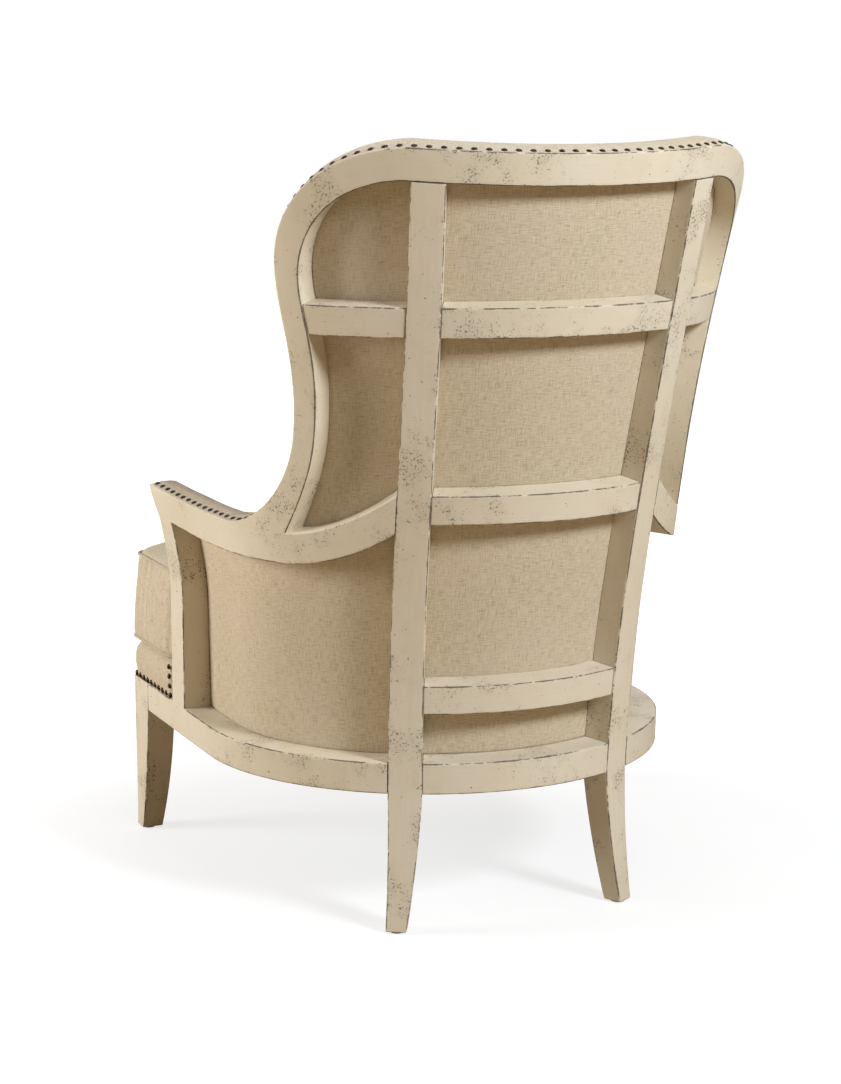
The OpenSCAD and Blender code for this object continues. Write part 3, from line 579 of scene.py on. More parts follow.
PAINT = antiqued_ivory_paint()
LINEN = flax_linen()
# The welts' linen: the same linen painted 8% darker, as painted shade on the welts
SHADED_WELT_LINEN = flax_linen("welt_linen", 0.92)
BRONZE = antique_bronze()
BEECH = plain_finish("bare_beech", (0.62, 0.44, 0.26), (0.48, 0.31, 0.17), 24, 0.6, grain=(1, 1, 9))
ZINC = plain_finish("zinc_steel", (0.58, 0.57, 0.54), (0.44, 0.43, 0.41), 150, 0.36, 1.0)
NYLON = plain_finish("nylon", (0.70, 0.69, 0.64), (0.62, 0.61, 0.56), 90, 0.45)
JUTE = plain_finish("jute_webbing", (0.36, 0.27, 0.16), (0.24, 0.17, 0.09), 420, 0.9, relief=0.0006)
LINING = plain_finish("black_lining", (0.030, 0.029, 0.030), (0.016, 0.015, 0.016), 700, 0.92, relief=0.0003)

# Painted frame
FIT, EASE, INNER_EASE, EDGE_RUN, SEAM_RUN = 0.3, 2.2, 1.2, 12, 20
CORNERS, WAYS = ((0, 0), (1, 0), (1, 1), (0, 1)), ((1, 0), (0, 1), (-1, 0), (0, -1))
# Angles round an eased corner, each with its distance from the corner, and the places beside it
CORNER_STEPS, BESIDE, BESIDE_MORE = ((0, 1.6), (0.52, 0.4), (1.05, 0.4), (1.571, 1.6)), (2.4, 6.5), 1.6
POST_TOP = float(crest_foot(post_mid(CREST)))


def section_stops(broad):
    """Places round a section with eased corners: shares of its width and depth, distances from
    there in millimetres, the distance from the nearest corner, and which outer corner that is"""
    out = []
    for c in range(4):
        corner, way, last = (np.array(p, float) for p in (CORNERS[c], WAYS[c], WAYS[c - 1]))
        ahead = np.array(CORNERS[(c + 1) % 4], float)
        ease = INNER_EASE if corner[1] else EASE
        which, next_which = (0 if p[1] else 1 + p[0] for p in (corner, ahead))
        for a, far in CORNER_STEPS:
            off = ease * (last * (math.sin(a) - 1) + way * (1 - math.cos(a)))
            out.append((*corner, *off, far, which))
        for far in BESIDE:
            out.append((*corner, *(way * (EASE + far)), far + BESIDE_MORE, -which))
        for share in ((0.3, 0.5, 0.7) if broad and c % 2 == 0 else (0.5,)):
            out.append((*mix(corner, ahead, share), 0, 0, EDGE_RUN, 0))
        for far in BESIDE[::-1]:
            out.append((*ahead, *(-way * (EASE + far)), far + BESIDE_MORE, -next_which))
    return np.array(out)


NARROW, BROAD = section_stops(False), section_stops(True)


def member(name, span, low, high, inset=None, deep=None, soft_ends=(0.8, 0.8), broad=False, both=False,
           flush=None, lines=(1, 1), rubbed=(0, 0)):
    """A painted bar whose long edges are low(t) and high(t) on the wall; both makes its mirror too.
    Its outer corners are left square where flush(t) is 0 for the low and the high one, and lines
    says at which ends its joint shows through the paint; rubbed wears those corners more"""
    spacing, ends, clear, least_round = 11.0, np.array([0, 0.4, 1.2, 3.5, 8]), 16, 0.04
    t = np.linspace(span[0], span[1], 700)
    run = lengths(wall(*((low(t) + high(t)) / 2).T, 0))
    total, stops = run[-1], BROAD if broad else NARROW
    middle = np.linspace(clear, total - clear, max(int(total / spacing), 3))
    far = np.concatenate([ends, middle, total - ends[::-1]])
    at = np.interp(far, run, t)
    a, b = low(at), high(at)
    outer = inset(at) if inset else np.zeros(len(at))
    inner = deep(at) if deep else np.stack([depth(a[:, 1]), depth(b[:, 1])])
    less = np.zeros(len(at))
    less[[0, -1]], less[[1, -2]] = soft_ends, np.array(soft_ends) * 0.3
    width = np.linalg.norm(b - a, axis=1)
    round_share = np.maximum(flush(at), least_round) if flush else np.ones((len(at), 2))
    corner = np.abs(stops[:, 5]).astype(int)
    rings, around, uv, edge, joint = [], None, [], [], []
    for i in range(len(at)):
        share = np.concatenate([[1], round_share[i]])[corner]
        off = stops[:, 2:4] * np.where(stops[:, 5] > 0, share, 1)[:, None]
        u = (stops[:, 0] * (width[i] - 2 * less[i]) + off[:, 0] + less[i]) / width[i]
        back = mix(inner[0][i], inner[1][i], u) - less[i]
        front = outer[i] + less[i]
        place = a[i] + (b[i] - a[i]) * u[:, None]
        rings.append(wall(place[:, 0], place[:, 1], front + stops[:, 1] * (back - front) + off[:, 1]))
        if around is None:
            around = lengths(np.concatenate([rings[0], rings[0][:1]]))[:-1]
        uv.append(places(far[i], around))
        worn = np.array([0, *rubbed])[corner] * (stops[:, 4] < 1)
        edge.append(limit(1 - stops[:, 4] / EDGE_RUN) * share + worn)
        seam = max(0.0, lines[0] - far[i] / SEAM_RUN, lines[1] - (total - far[i]) / SEAM_RUN)
        joint.append(np.full(len(stops), seam))
    mids = [rings[0].mean(0), rings[-1].mean(0)]
    caps = [mix(mid, rings[end], 0.5) for mid, end in zip(mids, (0, -1))]
    points, faces = drum([caps[0]] + rings + [caps[1]], mids)
    uv = np.concatenate([uv[0]] + uv + [uv[-1], [[0, 0], [total, 0]]])
    edge = np.concatenate([edge[0] * 0] + edge + [edge[0] * 0, [0, 0]])
    joint = np.concatenate([joint[0]] + joint + [joint[-1], lines])
    for side, turn, shift in sides(both, 1370.0):
        obj = piece(f"{side}{name}_painted", points * np.array([turn, 1, 1]), faces, PAINT, uv + shift,
                    {"edge": edge, "joint": joint}, slot="painted_wood", nodes=(side + name,))
        obj.data.set_sharp_from_angle(angle=math.radians(55))
        crisp = obj.modifiers.new("crisp", "WEIGHTED_NORMAL")
        crisp.weight, crisp.keep_sharp = 80, True
        take_shape(obj, False)


def leg_share(z):
    return limit((RAIL_BASE - z) / RAIL_BASE)


def post_edge(z, side):
    t = leg_share(z)
    s = post_mid(z) + FOOT_SHIFT * t**1.5 + side * mix(post_half(z), FOOT / 2, t**1.2)
    return places(s, z + (crest_foot(s) - POST_TOP) * smooth((z - POST_TOP + 40) / 40))


def post_inner(z):
    d = mix(depth(z), FOOT, leg_share(z)) - REAR_SWEEP * leg_share(z) * leg_share(z)
    return np.stack([d, d])


def leg_edge(z, rear):
    narrow = LEG_SIDE - FOOT
    y = LEG_FRONT - LEG_SIDE + narrow * (1 - FRONT_SHARE) * leg_share(z) if rear else \
        LEG_FRONT - narrow * FRONT_SHARE * leg_share(z) ** 2
    return places(s_at(-y, z), z)


def leg_inner(z):
    d = mix(SEAT_DEPTH, FOOT + 4, leg_share(z) ** 2) - FRONT_KICK * leg_share(z) ** 3
    return np.stack([d, d])


def arm_post_edge(z, front):
    s = s_at(-(arm_post_fore(z) if front else arm_post_rear(z)), z)
    return places(s, z + rise(s) * smooth((z - ARM_LOW + 60) / 60))


def between(s, low, high, run=6.0):
    """0 from low to high, and 1 beyond a short run outside them"""
    return np.maximum(smooth((low - s) / run), smooth((s - high) / run))


def arm_rail_flush(t):
    post = s_at(-arm_post_rear(ARM_LOW), ARM_LOW), s_at(-arm_post_fore(ARM_LOW), ARM_LOW)
    return places(between(arm_edge(t, False)[:, 0], post[0], post[1] + 40),
                  between(arm_edge(t, True)[:, 0], WAIST_REACH + 3, WAIST_REACH + 140))


def seat_rail_flush(f):
    z = RAIL_TOP
    s = mix(post_out(z), s_at(-(LEG_FRONT - LEG_SIDE), z), f)
    return places(1, between(s, s_at(-arm_post_rear(z), z), s_at(-arm_post_fore(z), z)))


def level_bar(name, span, low, high, end, **more):
    """A member whose edges lie level, where end(f, z) says how far round the wall they have come"""
    member(name, span, lambda f: places(end(f, low), low), lambda f: places(end(f, high), high), **more)


def frame_members():
    def from_post_to_post(f, z):
        return f * (post_in(z) - FIT)

    def to_stile(f, z):
        return mix(post_out(z) + FIT, float(s_on(wing_inner(np.linspace(1, 2, 400)), z)) - FIT, f)

    def to_leg(f, z):
        return mix(post_out(z) + FIT, s_at(-(LEG_FRONT - LEG_SIDE - FIT), z), f)

    def let_in(f):
        return f * 0 + SLAT_INSET

    member("crest_rail", (-CREST_JOINT, CREST_JOINT), lambda s: places(s, crest_foot(s)),
           lambda s: places(s, crest_top(s)), soft_ends=(0, 0), lines=(0, 0), rubbed=(0.04, 0))
    member("wing_stile", (0, 2.998), wing_inner, wing_edge, broad=True, soft_ends=(0, 0), both=True,
           lines=(0, 0), rubbed=(0.07, -0.08), flush=lambda t: places(1, smooth((2.97 - t) / 0.05)))
    member("arm_rail", (0, 2), lambda t: arm_edge(t, False), lambda t: arm_edge(t, True),
           soft_ends=(0.8, 2.4), both=True, flush=arm_rail_flush, lines=(1, 0), rubbed=(0, -0.12))
    member("arm_post", (RAIL_TOP, ARM_LOW), lambda z: arm_post_edge(z, True),
           lambda z: arm_post_edge(z, False), soft_ends=(0, 0), both=True, lines=(0, 0))
    member("rear_post", (GLIDE, POST_TOP), lambda z: post_edge(z, -1), lambda z: post_edge(z, 1),
           inset=lambda z: -REAR_SWEEP * leg_share(z) ** 2, deep=post_inner, both=True)
    for name, z in zip(("lower_slat", "middle_slat", "upper_slat"), SLATS):
        level_bar(name, (-1, 1), z, z + SLAT_FACE, from_post_to_post, inset=let_in)
    level_bar("side_slat", (0, 1), SLATS[2], SLATS[2] + SLAT_FACE, to_stile, inset=let_in, both=True)
    level_bar("back_seat_rail", (-1, 1), RAIL_BASE, RAIL_TOP, from_post_to_post)
    level_bar("seat_rail", (0, 1), RAIL_BASE, RAIL_TOP, to_leg, both=True, flush=seat_rail_flush)
    member("front_leg", (GLIDE, RAIL_TOP), lambda z: leg_edge(z, False), lambda z: leg_edge(z, True),
           inset=lambda z: -FRONT_KICK * leg_share(z) ** 3, deep=leg_inner, both=True)


# Covers and padding
JOIN_S = float(s_at(0, ARM)) - 20
COVER_LOW, BEHIND, TUCK = RAIL_TOP + SOFT_GAP, 20, 2.5
RIM_STEP, RIM_END, STILE_END = 0.1, 2.7, 2.95


def cover_in(z):
    return depth(z) + GAP


def pad_in(z):
    return cover_in(z) + COVER + GAP - 0.1


def arm_pad_t(z):
    return mix(ARM_PAD_FOOT, THIN_PAD, limit((z - ARM + ARM_PAD_TALL) / ARM_PAD_TALL))


def edge_pad_t(z):
    wing = mix(THIN_PAD, THIN_PAD + WING_PAD_GAIN, limit((z - ARM) / WING_PAD_RUN))
    return np.where(z < ARM, arm_pad_t(z), wing)


def pad_t(s, z, reach):
    back = BACK_PAD * (1 - BACK_PAD_LOSS * limit(climb(z)) ** 4)
    return mix(back, edge_pad_t(z), limit(np.abs(s) / reach) ** 4)


def border(rows, cols):
    """Places in a grid's list of points, in order round its border and back to the first"""
    return ([*range(cols)] + [i * cols + cols - 1 for i in range(1, rows)]
            + [(rows - 1) * cols + j for j in range(cols - 2, -1, -1)]
            + [i * cols for i in range(rows - 2, -1, -1)])


def grid_area(p):
    a, b = p[1:, :-1] - p[:-1, :-1], p[:-1, 1:] - p[:-1, :-1]
    return float(np.linalg.norm(np.cross(a, b), axis=-1).sum() / 1e6)


def cloth_cover(name, node, s, z, dent):
    """A cover stretched behind the frame, which swells out by its dent between the members"""
    rows, cols = s.shape
    outer, inner = (wall(s, z, cover_in(z) + d - dent).reshape(-1, 3) for d in (COVER_FACE, COVER_BACK))
    n = rows * cols
    faces = grid_faces(rows, cols) + grid_faces(rows, cols, n) + sew(border(rows, cols), n)
    flat = places(s, z).reshape(-1, 2)
    wide, high = (s.max() - s.min()) / 1000, (z.max() - z.min()) / 1000
    area = min(grid_area(outer.reshape(rows, cols, 3)), wide * high)
    for side, turn, shift in sides(node.startswith("left_"), 2600.0):
        obj = piece(f"{side}{name}", np.concatenate([outer, inner]) * np.array([turn, 1, 1]), faces, LINEN,
                    np.concatenate([flat, flat]) + shift, nodes=(node.replace("left_", side),))


def swell(*distances, run=26.0, height=3.2):
    """How far a taut cover stands out at these distances from the members round it"""
    nearest = np.minimum.reduce([np.maximum(d, 0) for d in distances])
    return height * (1 - np.exp(-nearest / run * SWELL_RATE))


def arm_lift(s):
    """How far the middle of an arm rail stands above the level where the covers part behind it"""
    t = np.linspace(0, 2, 400)
    middle = (arm_edge(t, True) + arm_edge(t, False)) / 2
    return np.interp(s, middle[:, 0], middle[:, 1]) - (ARM - BEHIND)


def beyond_slats(z, slats):
    return [np.where(z < low, low - z, z - low - SLAT_FACE) for low in slats]


def back_cover():
    z = np.linspace(COVER_LOW - TUCK, CREST - BEHIND, 150)[:, None]
    s = np.linspace(-1, 1, 71)[None, :] * (post_mid(z) - SOFT_GAP)
    z = z + s * 0
    cloth_cover("back_cover", "outside_back", s, z,
                swell(post_in(z) - np.abs(s), z - RAIL_TOP, crest_foot(s) - z, *beyond_slats(z, SLATS)))


def wing_covers():
    """Each between its stile, the rear post, the side slat and the arm"""
    inset, lap = 14, 12
    t = np.linspace(0, STILE_END, 500)
    edge, inner = wing_edge(t), wing_inner(t)
    z = np.linspace(ARM - BEHIND, CREST - BEHIND, 120)[:, None]
    far = np.minimum(s_on(edge, np.maximum(z, ARM + lap)) - inset, WING_REACH - inset)
    s = mix(post_mid(z) + SOFT_GAP, far, np.linspace(0, 1, 46)[None, :])
    z = z + arm_lift(s) * limit(1 - (z - ARM + BEHIND) / 220) ** 2
    arm_top = arm_edge(np.linspace(0, 1, 200), True)
    crest_line = np.interp(s, inner[:150, 0], inner[:150, 1], left=JOINT_FOOT)
    cloth_cover("wing_cover", "left_outside_wing", s, z,
                swell(s - post_out(z), s_on(inner, z) - s, z - np.interp(s, arm_top[:, 0], arm_top[:, 1]),
                      *beyond_slats(z, SLATS[2:]), crest_line - z, run=22, height=2.6))


def arm_covers():
    z = np.linspace(COVER_LOW - TUCK, ARM - BEHIND - SOFT_GAP, 76)[:, None]
    s = mix(post_mid(z) + SOFT_GAP, s_at(-arm_post_fore(z) + 8, z), np.linspace(0, 1, 120)[None, :])
    z = z + arm_lift(s) * limit((z - 360) / 200) ** 2
    arm_foot = arm_edge(np.linspace(0, 1, 200), False)
    cloth_cover("arm_cover", "left_outside_arm", s, z,
                swell(s - post_out(z), np.interp(s, arm_foot[:, 0], arm_foot[:, 1]) - z, z - RAIL_TOP,
                      s_at(-arm_post_rear(z), z) - s, height=3.4))


def spline(marks, n):
    """Places on a smooth curve through the marks, which run along the last axis but one"""
    m = marks.shape[-2]
    pts = np.concatenate([2 * marks[..., :1, :] - marks[..., 1:2, :], marks,
                          2 * marks[..., -1:, :] - marks[..., -2:-1, :]], -2)
    x = np.linspace(0, m - 1, n)
    k = np.minimum(x.astype(int), m - 2)
    t = (x - k)[:, None]
    a, b, c, d = (pts[..., k + i, :] for i in range(4))
    return 0.5 * (2 * b + (c - a) * t + (2 * a - 5 * b + 4 * c - d) * t**2 + (3 * b - a - 3 * c + d) * t**3)


def edge_drop(z):
    """How far below the rim the linen starts to turn over it"""
    return mix(*EDGE_DROP, limit((z - WING_FULL + DROP_START) / (CREST - WING_FULL + DROP_START)))


def rim_height(u):
    return mix(*RIM_HEIGHTS, limit(np.abs(u) - 0.6))


def rim_marks(h, fall, out, d, tight=1.0):
    """Marks of the linen over the rim, from the inner face to the nails, as [distance out, depth]"""
    return np.stack([places(-fall, out), places(-fall * 0.35, mix(d, out, 0.92)),
                     places(h * 0.5, mix(d, out, 0.5)), places(h, d * 0.88), places(h, d * 0.6),
                     places(h * 0.66, d * 0.41), places(0.9 * tight, d * 0 + NAIL_IN),
                     places(h * 0 + 0.1, d * 0 + 2.6)], -2)


def arm_marks(fall, out, d, tight=1.0):
    """The same over an arm"""
    h = ARM_ROLL
    return np.array([(-fall, out + 1), (-fall * 0.3, out + 1.5), (h * 0.50, d + 3), (h * 0.86, d * 0.66),
                     (h * 0.66, d * 0.42), (2.2 * tight, ARM_NAIL_IN), (1.0, 6.2), (0.2, 4.0)])


def at_nails(count, pull):
    """1, or less by the pull at each nail, which holds every fourth place"""
    return 1 - pull * (np.cos(np.arange(count) * np.pi / 2) > 0.5)


def pad_roll(u, tight):
    """The linen's places over the rim at u, from the inner face round to behind it: [s, z, depth]"""
    p, o = rim(u), rim_out(u)
    z = p[..., 1]
    d = pad_in(z)
    reach = np.where(np.abs(u) < 1 + RIM_STEP, wing_edge(RIM_STEP)[0], np.abs(p[..., 0]))
    h = rim_height(u)
    at = spline(rim_marks(h, edge_drop(z), d + pad_t(p[..., 0], z, reach), d, tight), 17)
    at = np.concatenate([at, np.stack([places(0, d * 0 + 2.8), places(0, d)], -2)], -2)
    return np.concatenate([p[..., None, :] + o[..., None, :] * at[..., :1], at[..., 1:]], -1)


def nail_run():
    """u along the rim at equal steps of a quarter of the nails' pitch"""
    u = np.linspace(-1 - RIM_END, 1 + RIM_END, 4000)
    run = lengths(wall(*rim(u).T, NAIL_RUN_IN))
    n = int(round(run[-1] / NAIL_PITCH)) * 4
    return np.interp(np.linspace(0, run[-1], n + 1), run, u)


def back_places(top, u_edge, low_rows):
    """Places of the inside back's linen in rows from the seat to the crest, and how far each row reaches"""
    f, cols, first = top / (1 + RIM_STEP), len(top), 1 + RIM_STEP
    top_place = rim(top) - rim_out(top) * edge_drop(rim(top)[:, 1:])
    corner = rim(first) - rim_out(first) * edge_drop(rim(first)[1])
    crown = top_place[cols // 2, 1]
    rows = [(places(JOIN_S * f, z), JOIN_S) for z in np.linspace(COVER_LOW, ARM - 4, low_rows)]
    for u in u_edge[:-1]:
        p, t = rim(u), u - 1
        end = p - rim_out(u) * edge_drop(p[1])
        middle = mix(crown, WING_FULL, limit((t - RIM_STEP) / (1 - RIM_STEP))) if t < 1 else end[1]
        plain = end[1] + (middle - end[1]) * (1 - f**4)
        like_top = end[1] + (middle - end[1]) * (top_place[:, 1] - corner[1]) / (crown - corner[1])
        share = smooth(1 - (t - RIM_STEP) / 0.5)
        s = mix(end[0] * f, top_place[:, 0] * end[0] / corner[0], share)
        rows.append((places(s, mix(plain, like_top, share)), p[0]))
    rows.append((top_place, wing_edge(RIM_STEP)[0]))
    return np.array([r[0] for r in rows]), np.array([r[1] for r in rows])[:, None]


def back_padding():
    """The inside back and wings, with the linen drawn over the crest and the wings' edges"""
    low_rows, puff_height, puff_z, puff_run = 27, 2.2, 420, 170
    drawn = np.array([0.82, 1])
    all_u = nail_run()
    top = all_u[np.abs(all_u) <= 1 + RIM_STEP]
    u_edge = np.concatenate([[1 + RIM_STEP], all_u[all_u > 1 + RIM_STEP]])[::-1]
    place, reach = back_places(top, u_edge, low_rows)
    n, cols = place.shape[:2]
    s, z = place[..., 0], place[..., 1]
    puff = puff_height * np.exp(-((z - puff_z) / puff_run) ** 2) * (1 - (np.abs(s) / reach) ** 2)
    inner = wall(s, z, pad_in(z) + pad_t(s, z, reach) + puff).reshape(-1, 3)
    back = wall(s, z, pad_in(z)).reshape(-1, 3)
    # round the rim
    loop_u = np.concatenate([-u_edge[:-1], top, u_edge[:-1][::-1]])
    strip = wall(*np.moveaxis(pad_roll(loop_u, at_nails(len(all_u), 0.16)[: len(loop_u)]), -1, 0))
    side_rows = range(low_rows, n - 1)
    loop = ([i * cols for i in side_rows] + [(n - 1) * cols + j for j in range(cols)]
            + [i * cols + cols - 1 for i in side_rows][::-1])
    for k, at in enumerate(loop):
        inner[at] = strip[k, 0]
        back[at] = wall(*rim(loop_u[k]), pad_in(rim(loop_u[k])[1]))
    base, kk = 2 * n * cols, strip.shape[1] - 1
    points = np.concatenate([inner, back, strip[:, 1:].reshape(-1, 3)])
    faces = grid_faces(n, cols) + grid_faces(n, cols, n * cols)
    chains = [[at, *range(base + k * kk, base + k * kk + kk), n * cols + at] for k, at in enumerate(loop)]
    for a, b in zip(chains, chains[1:]):
        faces += [(a[m], a[m + 1], b[m + 1], b[m]) for m in range(len(a) - 1)]
    lower = [i * cols for i in range(low_rows, -1, -1)] + [*range(1, cols)] + \
        [i * cols + cols - 1 for i in range(1, low_rows + 1)]
    faces += sew(lower, n * cols) + [tuple(chains[0]), tuple(chains[-1])]
    over = np.cumsum(np.linalg.norm(np.diff(strip, axis=1), axis=2), 1)
    flat = place.reshape(-1, 2) * drawn
    strip_uv = flat[loop][:, None] + rim_out(loop_u)[:, None] * over[..., None]
    uv = np.concatenate([flat, flat, strip_uv.reshape(-1, 2)])
    obj = piece("inside_back_linen", points, faces, LINEN, uv, nodes=("inside_back", "crest_pad"))
    p, o = rim(all_u[::4]), rim_out(all_u[::4])
    at, above = (wall(*(p + o * up).T, deep) for up, deep in ((0.3, NAIL_IN), (1.3, NAIL_IN - 0.3)))
    return at, unit(above - at)


def arm_column(top_s, g, to_end, tight):
    """One strip of an arm's linen: up its inner face, over the roll, and down behind it"""
    tip_run, thin_run, thin_share, thin_depth, thinnest = 13, 130, 0.34, 17, 2.4
    d, up = float(depth(ARM)), rise(top_s)
    # the tip closes over its last stretch, and the padding thins before it
    close = np.sqrt(limit(1 - (1 - limit(to_end / tip_run)) ** 2)) * 0.8 + 0.2
    slim = smooth(1 - to_end / thin_run) * thin_share
    z_low = np.linspace(COVER_LOW, ARM - PAD_FALL - 5, 30)
    z = z_low + up * limit((z_low - BEND_Z) / (ARM - BEND_Z))
    s = mix(JOIN_S + 1.2, s_at(-arm_post_fore(z_low) + 4, z_low), g)
    t = arm_pad_t(z_low) * (0.55 + 0.45 * close) - slim * thin_depth * smooth((z_low - BEND_Z) / 120)
    face = places(s, z, pad_in(z_low) + np.maximum(t, thinnest))
    marks = arm_marks(PAD_FALL, d + THIN_PAD, d, tight)
    marks[:5, 1] -= np.array([1, 1, 0.8, 0.4, 0.2]) * thin_depth * slim
    marks[:5, 1] = mix(d * 0.4, marks[:5, 1], 0.4 + 0.6 * close)
    marks[:2, 1] = np.maximum(marks[:2, 1], d + 3.2)
    marks[2, 1] = max(marks[2, 1], d + 2.0)
    marks[2:5, 0] *= (0.35 + 0.65 * close) * (1 - slim * 0.6)
    over = spline(marks, 18) + np.array([ARM + up, 0])
    under = np.array([(ARM + up + 0.1, 4.2), (ARM + up + 0.1, d + 1.3), (ARM + up - PAD_FALL, d + 1.6)])
    rear = places(s, z, pad_in(z_low) - 1.6 * (1 - close))[::-3]
    return np.concatenate([face, *(places(top_s, p[:, 0], p[:, 1]) for p in (over, under)), rear])


def arm_padding():
    """The inside of an arm and the pad over its top, in one cover that turns up behind the wing's foot"""
    first, last = 541.0, float(s_at(-ARM_REACH, ARM)) - 2
    n = int(round((last - first) / NAIL_PITCH)) * 4
    g = np.linspace(0, 1, n + 1)
    top_s, to_end = mix(first, last, g), (1 - g) * (last - first)
    columns = np.array([arm_column(*at) for at in zip(top_s, g, to_end, at_nails(n + 1, 0.14))])
    rings = arm_wall(columns[..., 0], columns[..., 1], columns[..., 2])
    points, faces = tube(list(rings))
    turn_points, turn_faces, turn_uv, turn_at, turn_facing = arm_turn(first)
    faces += [tuple(len(points) + x for x in f) for f in turn_faces]
    points = np.concatenate([points, turn_points])
    seg = lengths(rings[n // 2])
    uv = np.concatenate([[[s, v] for s in top_s for v in seg], turn_uv])
    for side, turn, shift in sides(True, 1900.0):
        obj = piece(f"{side}arm_linen", points * np.array([turn, 1, 1]), faces, LINEN, uv + shift,
                    nodes=(f"{side}inside_arm", f"{side}arm_pad"))
    s, level_z = top_s[2::4], ARM + rise(top_s)[2::4]
    at, above = (arm_wall(s, level_z + up, ARM_NAIL_IN - less) for up, less in ((1.6, 0), (2.6, 0.25)))
    return np.concatenate([at, turn_at]), np.concatenate([unit(above - at), turn_facing])


def arm_turn(first):
    """The roll that carries an arm's pad round into the wing's, with the nails on it"""
    d, wing_end, turn_run = float(depth(ARM)), 3.0, 0.3
    lead, sink, first_nail = 14, 1.2, 4.25
    t = np.linspace(wing_end, 2.64, 37)
    path = np.concatenate([[(first + lead, ARM), (first + 5, ARM)], wing_edge(t)])
    share = np.concatenate([[0, 0], smooth((wing_end - t) / turn_run)])
    way = unit(np.gradient(path, axis=0))
    out = places(-way[:, 1], way[:, 0])
    out *= np.where(out[:, 1:] + out[:, :1] < 0, -1, 1)
    rings, nails = [], []
    h = float(rim_height(1 + RIM_END))
    for p, o, k in zip(path, out, share):
        inner, fall = float(pad_in(p[1])), edge_drop(p[1])
        thick = inner + float(edge_pad_t(p[1]))
        marks = mix(arm_marks(PAD_FALL, d + THIN_PAD, d), rim_marks(h, fall, thick, inner), k)
        under = np.array([(0.1, 2.8), (0.1, inner + 1.2), (-8.0, inner + 1.2)])
        at = np.concatenate([spline(marks, 18), under]) - np.array([0.5, 0]) * k
        at[:, 1] -= sink * k * (at[:, 1] > inner)
        place = p[0] + o[0] * at[:, 0], p[1] + o[1] * at[:, 0], at[:, 1]
        rings.append(mix(arm_wall(*place), wall(*place), k))
        deep = mix(ARM_NAIL_IN, NAIL_IN, k)
        nails.append([wall(*(p + o * (up - sink * k)), deep - less) for up, less in ((1.5, 0), (2.5, 0.3))])
    points, faces = tube(rings)
    uv = np.array([[first + lead - a, b] for a in lengths(path) for b in lengths(rings[5])])
    # the nails between the arm's last one and the wing's first
    line = np.array(nails)
    there = lengths(line[:, 0])
    to_wing = there[2 + int(np.argmin(abs(t - RIM_END)))]
    count = max(int(round((to_wing - first_nail) / NAIL_PITCH)), 2)
    stops = np.linspace(first_nail, to_wing, count + 1)[1:-1]
    at, above = (places(*(np.interp(stops, there, line[:, j, i]) for i in range(3))) for j in range(2))
    return points, faces, uv, at, unit(above - at)


# Seat
def inner_wall(s, z, gap):
    pad = np.where(s < JOIN_S, pad_t(s, z, JOIN_S), arm_pad_t(z))
    return wall(s, z, pad_in(z) + pad + gap)[..., :2]


def even_ring(points, n):
    closed = np.concatenate([points, points[:1]])
    run = lengths(closed)
    at = np.linspace(0, run[-1], n + 1)[:-1]
    return places(*(np.interp(at, run, closed[:, i]) for i in range(2)))


def seat_outline(z, gap, front, ear, r, n):
    """The T-shaped outline at height z, as n places from the middle of its front round to the left"""
    z = float(z)
    step = -(ARM_POST_FRONT + CUSHION_GAP + 2)
    turn = np.radians(np.linspace(0, 90, 9))
    half = np.concatenate([
        places(np.linspace(0, ear - r, 30)[:-1], -front),
        places(ear - r + r * np.sin(turn), -front + r - r * np.cos(turn)),
        places(ear - r + r * np.cos(turn), step - r + r * np.sin(turn)),
        inner_wall(np.linspace(float(s_at(step + 8, z)), 4, 90), z, gap)])
    rear = inner_wall(0.0, z, gap)
    return even_ring(np.concatenate([half, [rear], half[:0:-1] * np.array([-1, 1])]), n)


def level(points, e=0.0, share=1.0, z=0.0):
    """An outline at height z, set in by e and then drawn to a share of its size"""
    way = unit(np.roll(points, -2, 0) - np.roll(points, 2, 0))
    set_in = points + e * places(-way[:, 1], way[:, 0])
    p = HEART + (set_in - HEART) * share
    return places(p[:, 0], p[:, 1], z)


def near_tree(points):
    tree = KDTree(len(points))
    for i, p in enumerate(points):
        tree.insert(p, i)
    tree.balance()
    return tree


def lay_cloth(obj, outline):
    """Lays the weave flat on a seat piece's top and bottom, and round its sides"""
    flat_from, under_shift, side_shift, seam = 0.62, 3, 5, 0.01
    mesh = obj.data
    run = lengths(np.concatenate([outline, outline[:1]]))[:-1] / 1000
    tree = near_tree([(p[0] / 1000, (p[1] - MID_Y) / 1000, 0) for p in outline])
    layer = mesh.uv_layers.get("cloth") or mesh.uv_layers.new(name="cloth")
    total = run[-1] + seam
    for face in mesh.polygons:
        base = None
        for loop in face.loop_indices:
            p = mesh.vertices[mesh.loops[loop].vertex_index].co
            if abs(face.normal.z) > flat_from:
                layer.data[loop].uv = (p.x + (0 if face.normal.z > 0 else under_shift), p.y)
                continue
            at = run[tree.find((p.x, p.y, 0))[1]]
            base = at if base is None else base
            at += total if at - base < -total / 2 else -total if at - base > total / 2 else 0
            layer.data[loop].uv = (at + side_shift, p.z)


def even_out(obj, voxel, times):
    """Gives a soft piece even faces and softens its turns"""
    remesh = obj.modifiers.new("even", "REMESH")
    remesh.mode, remesh.voxel_size, remesh.use_smooth_shade = "VOXEL", voxel, True
    take_shape(obj)
    relax(obj.data, times)


def seat_piece(name, rings, **where):
    """A closed soft piece of rings round the seat's heart"""
    points, faces = drum(rings, [[*HEART, rings[0][0, 2]], [*HEART, rings[-1][:, 2].mean()]])
    return piece(name, points, faces, LINEN, **where)


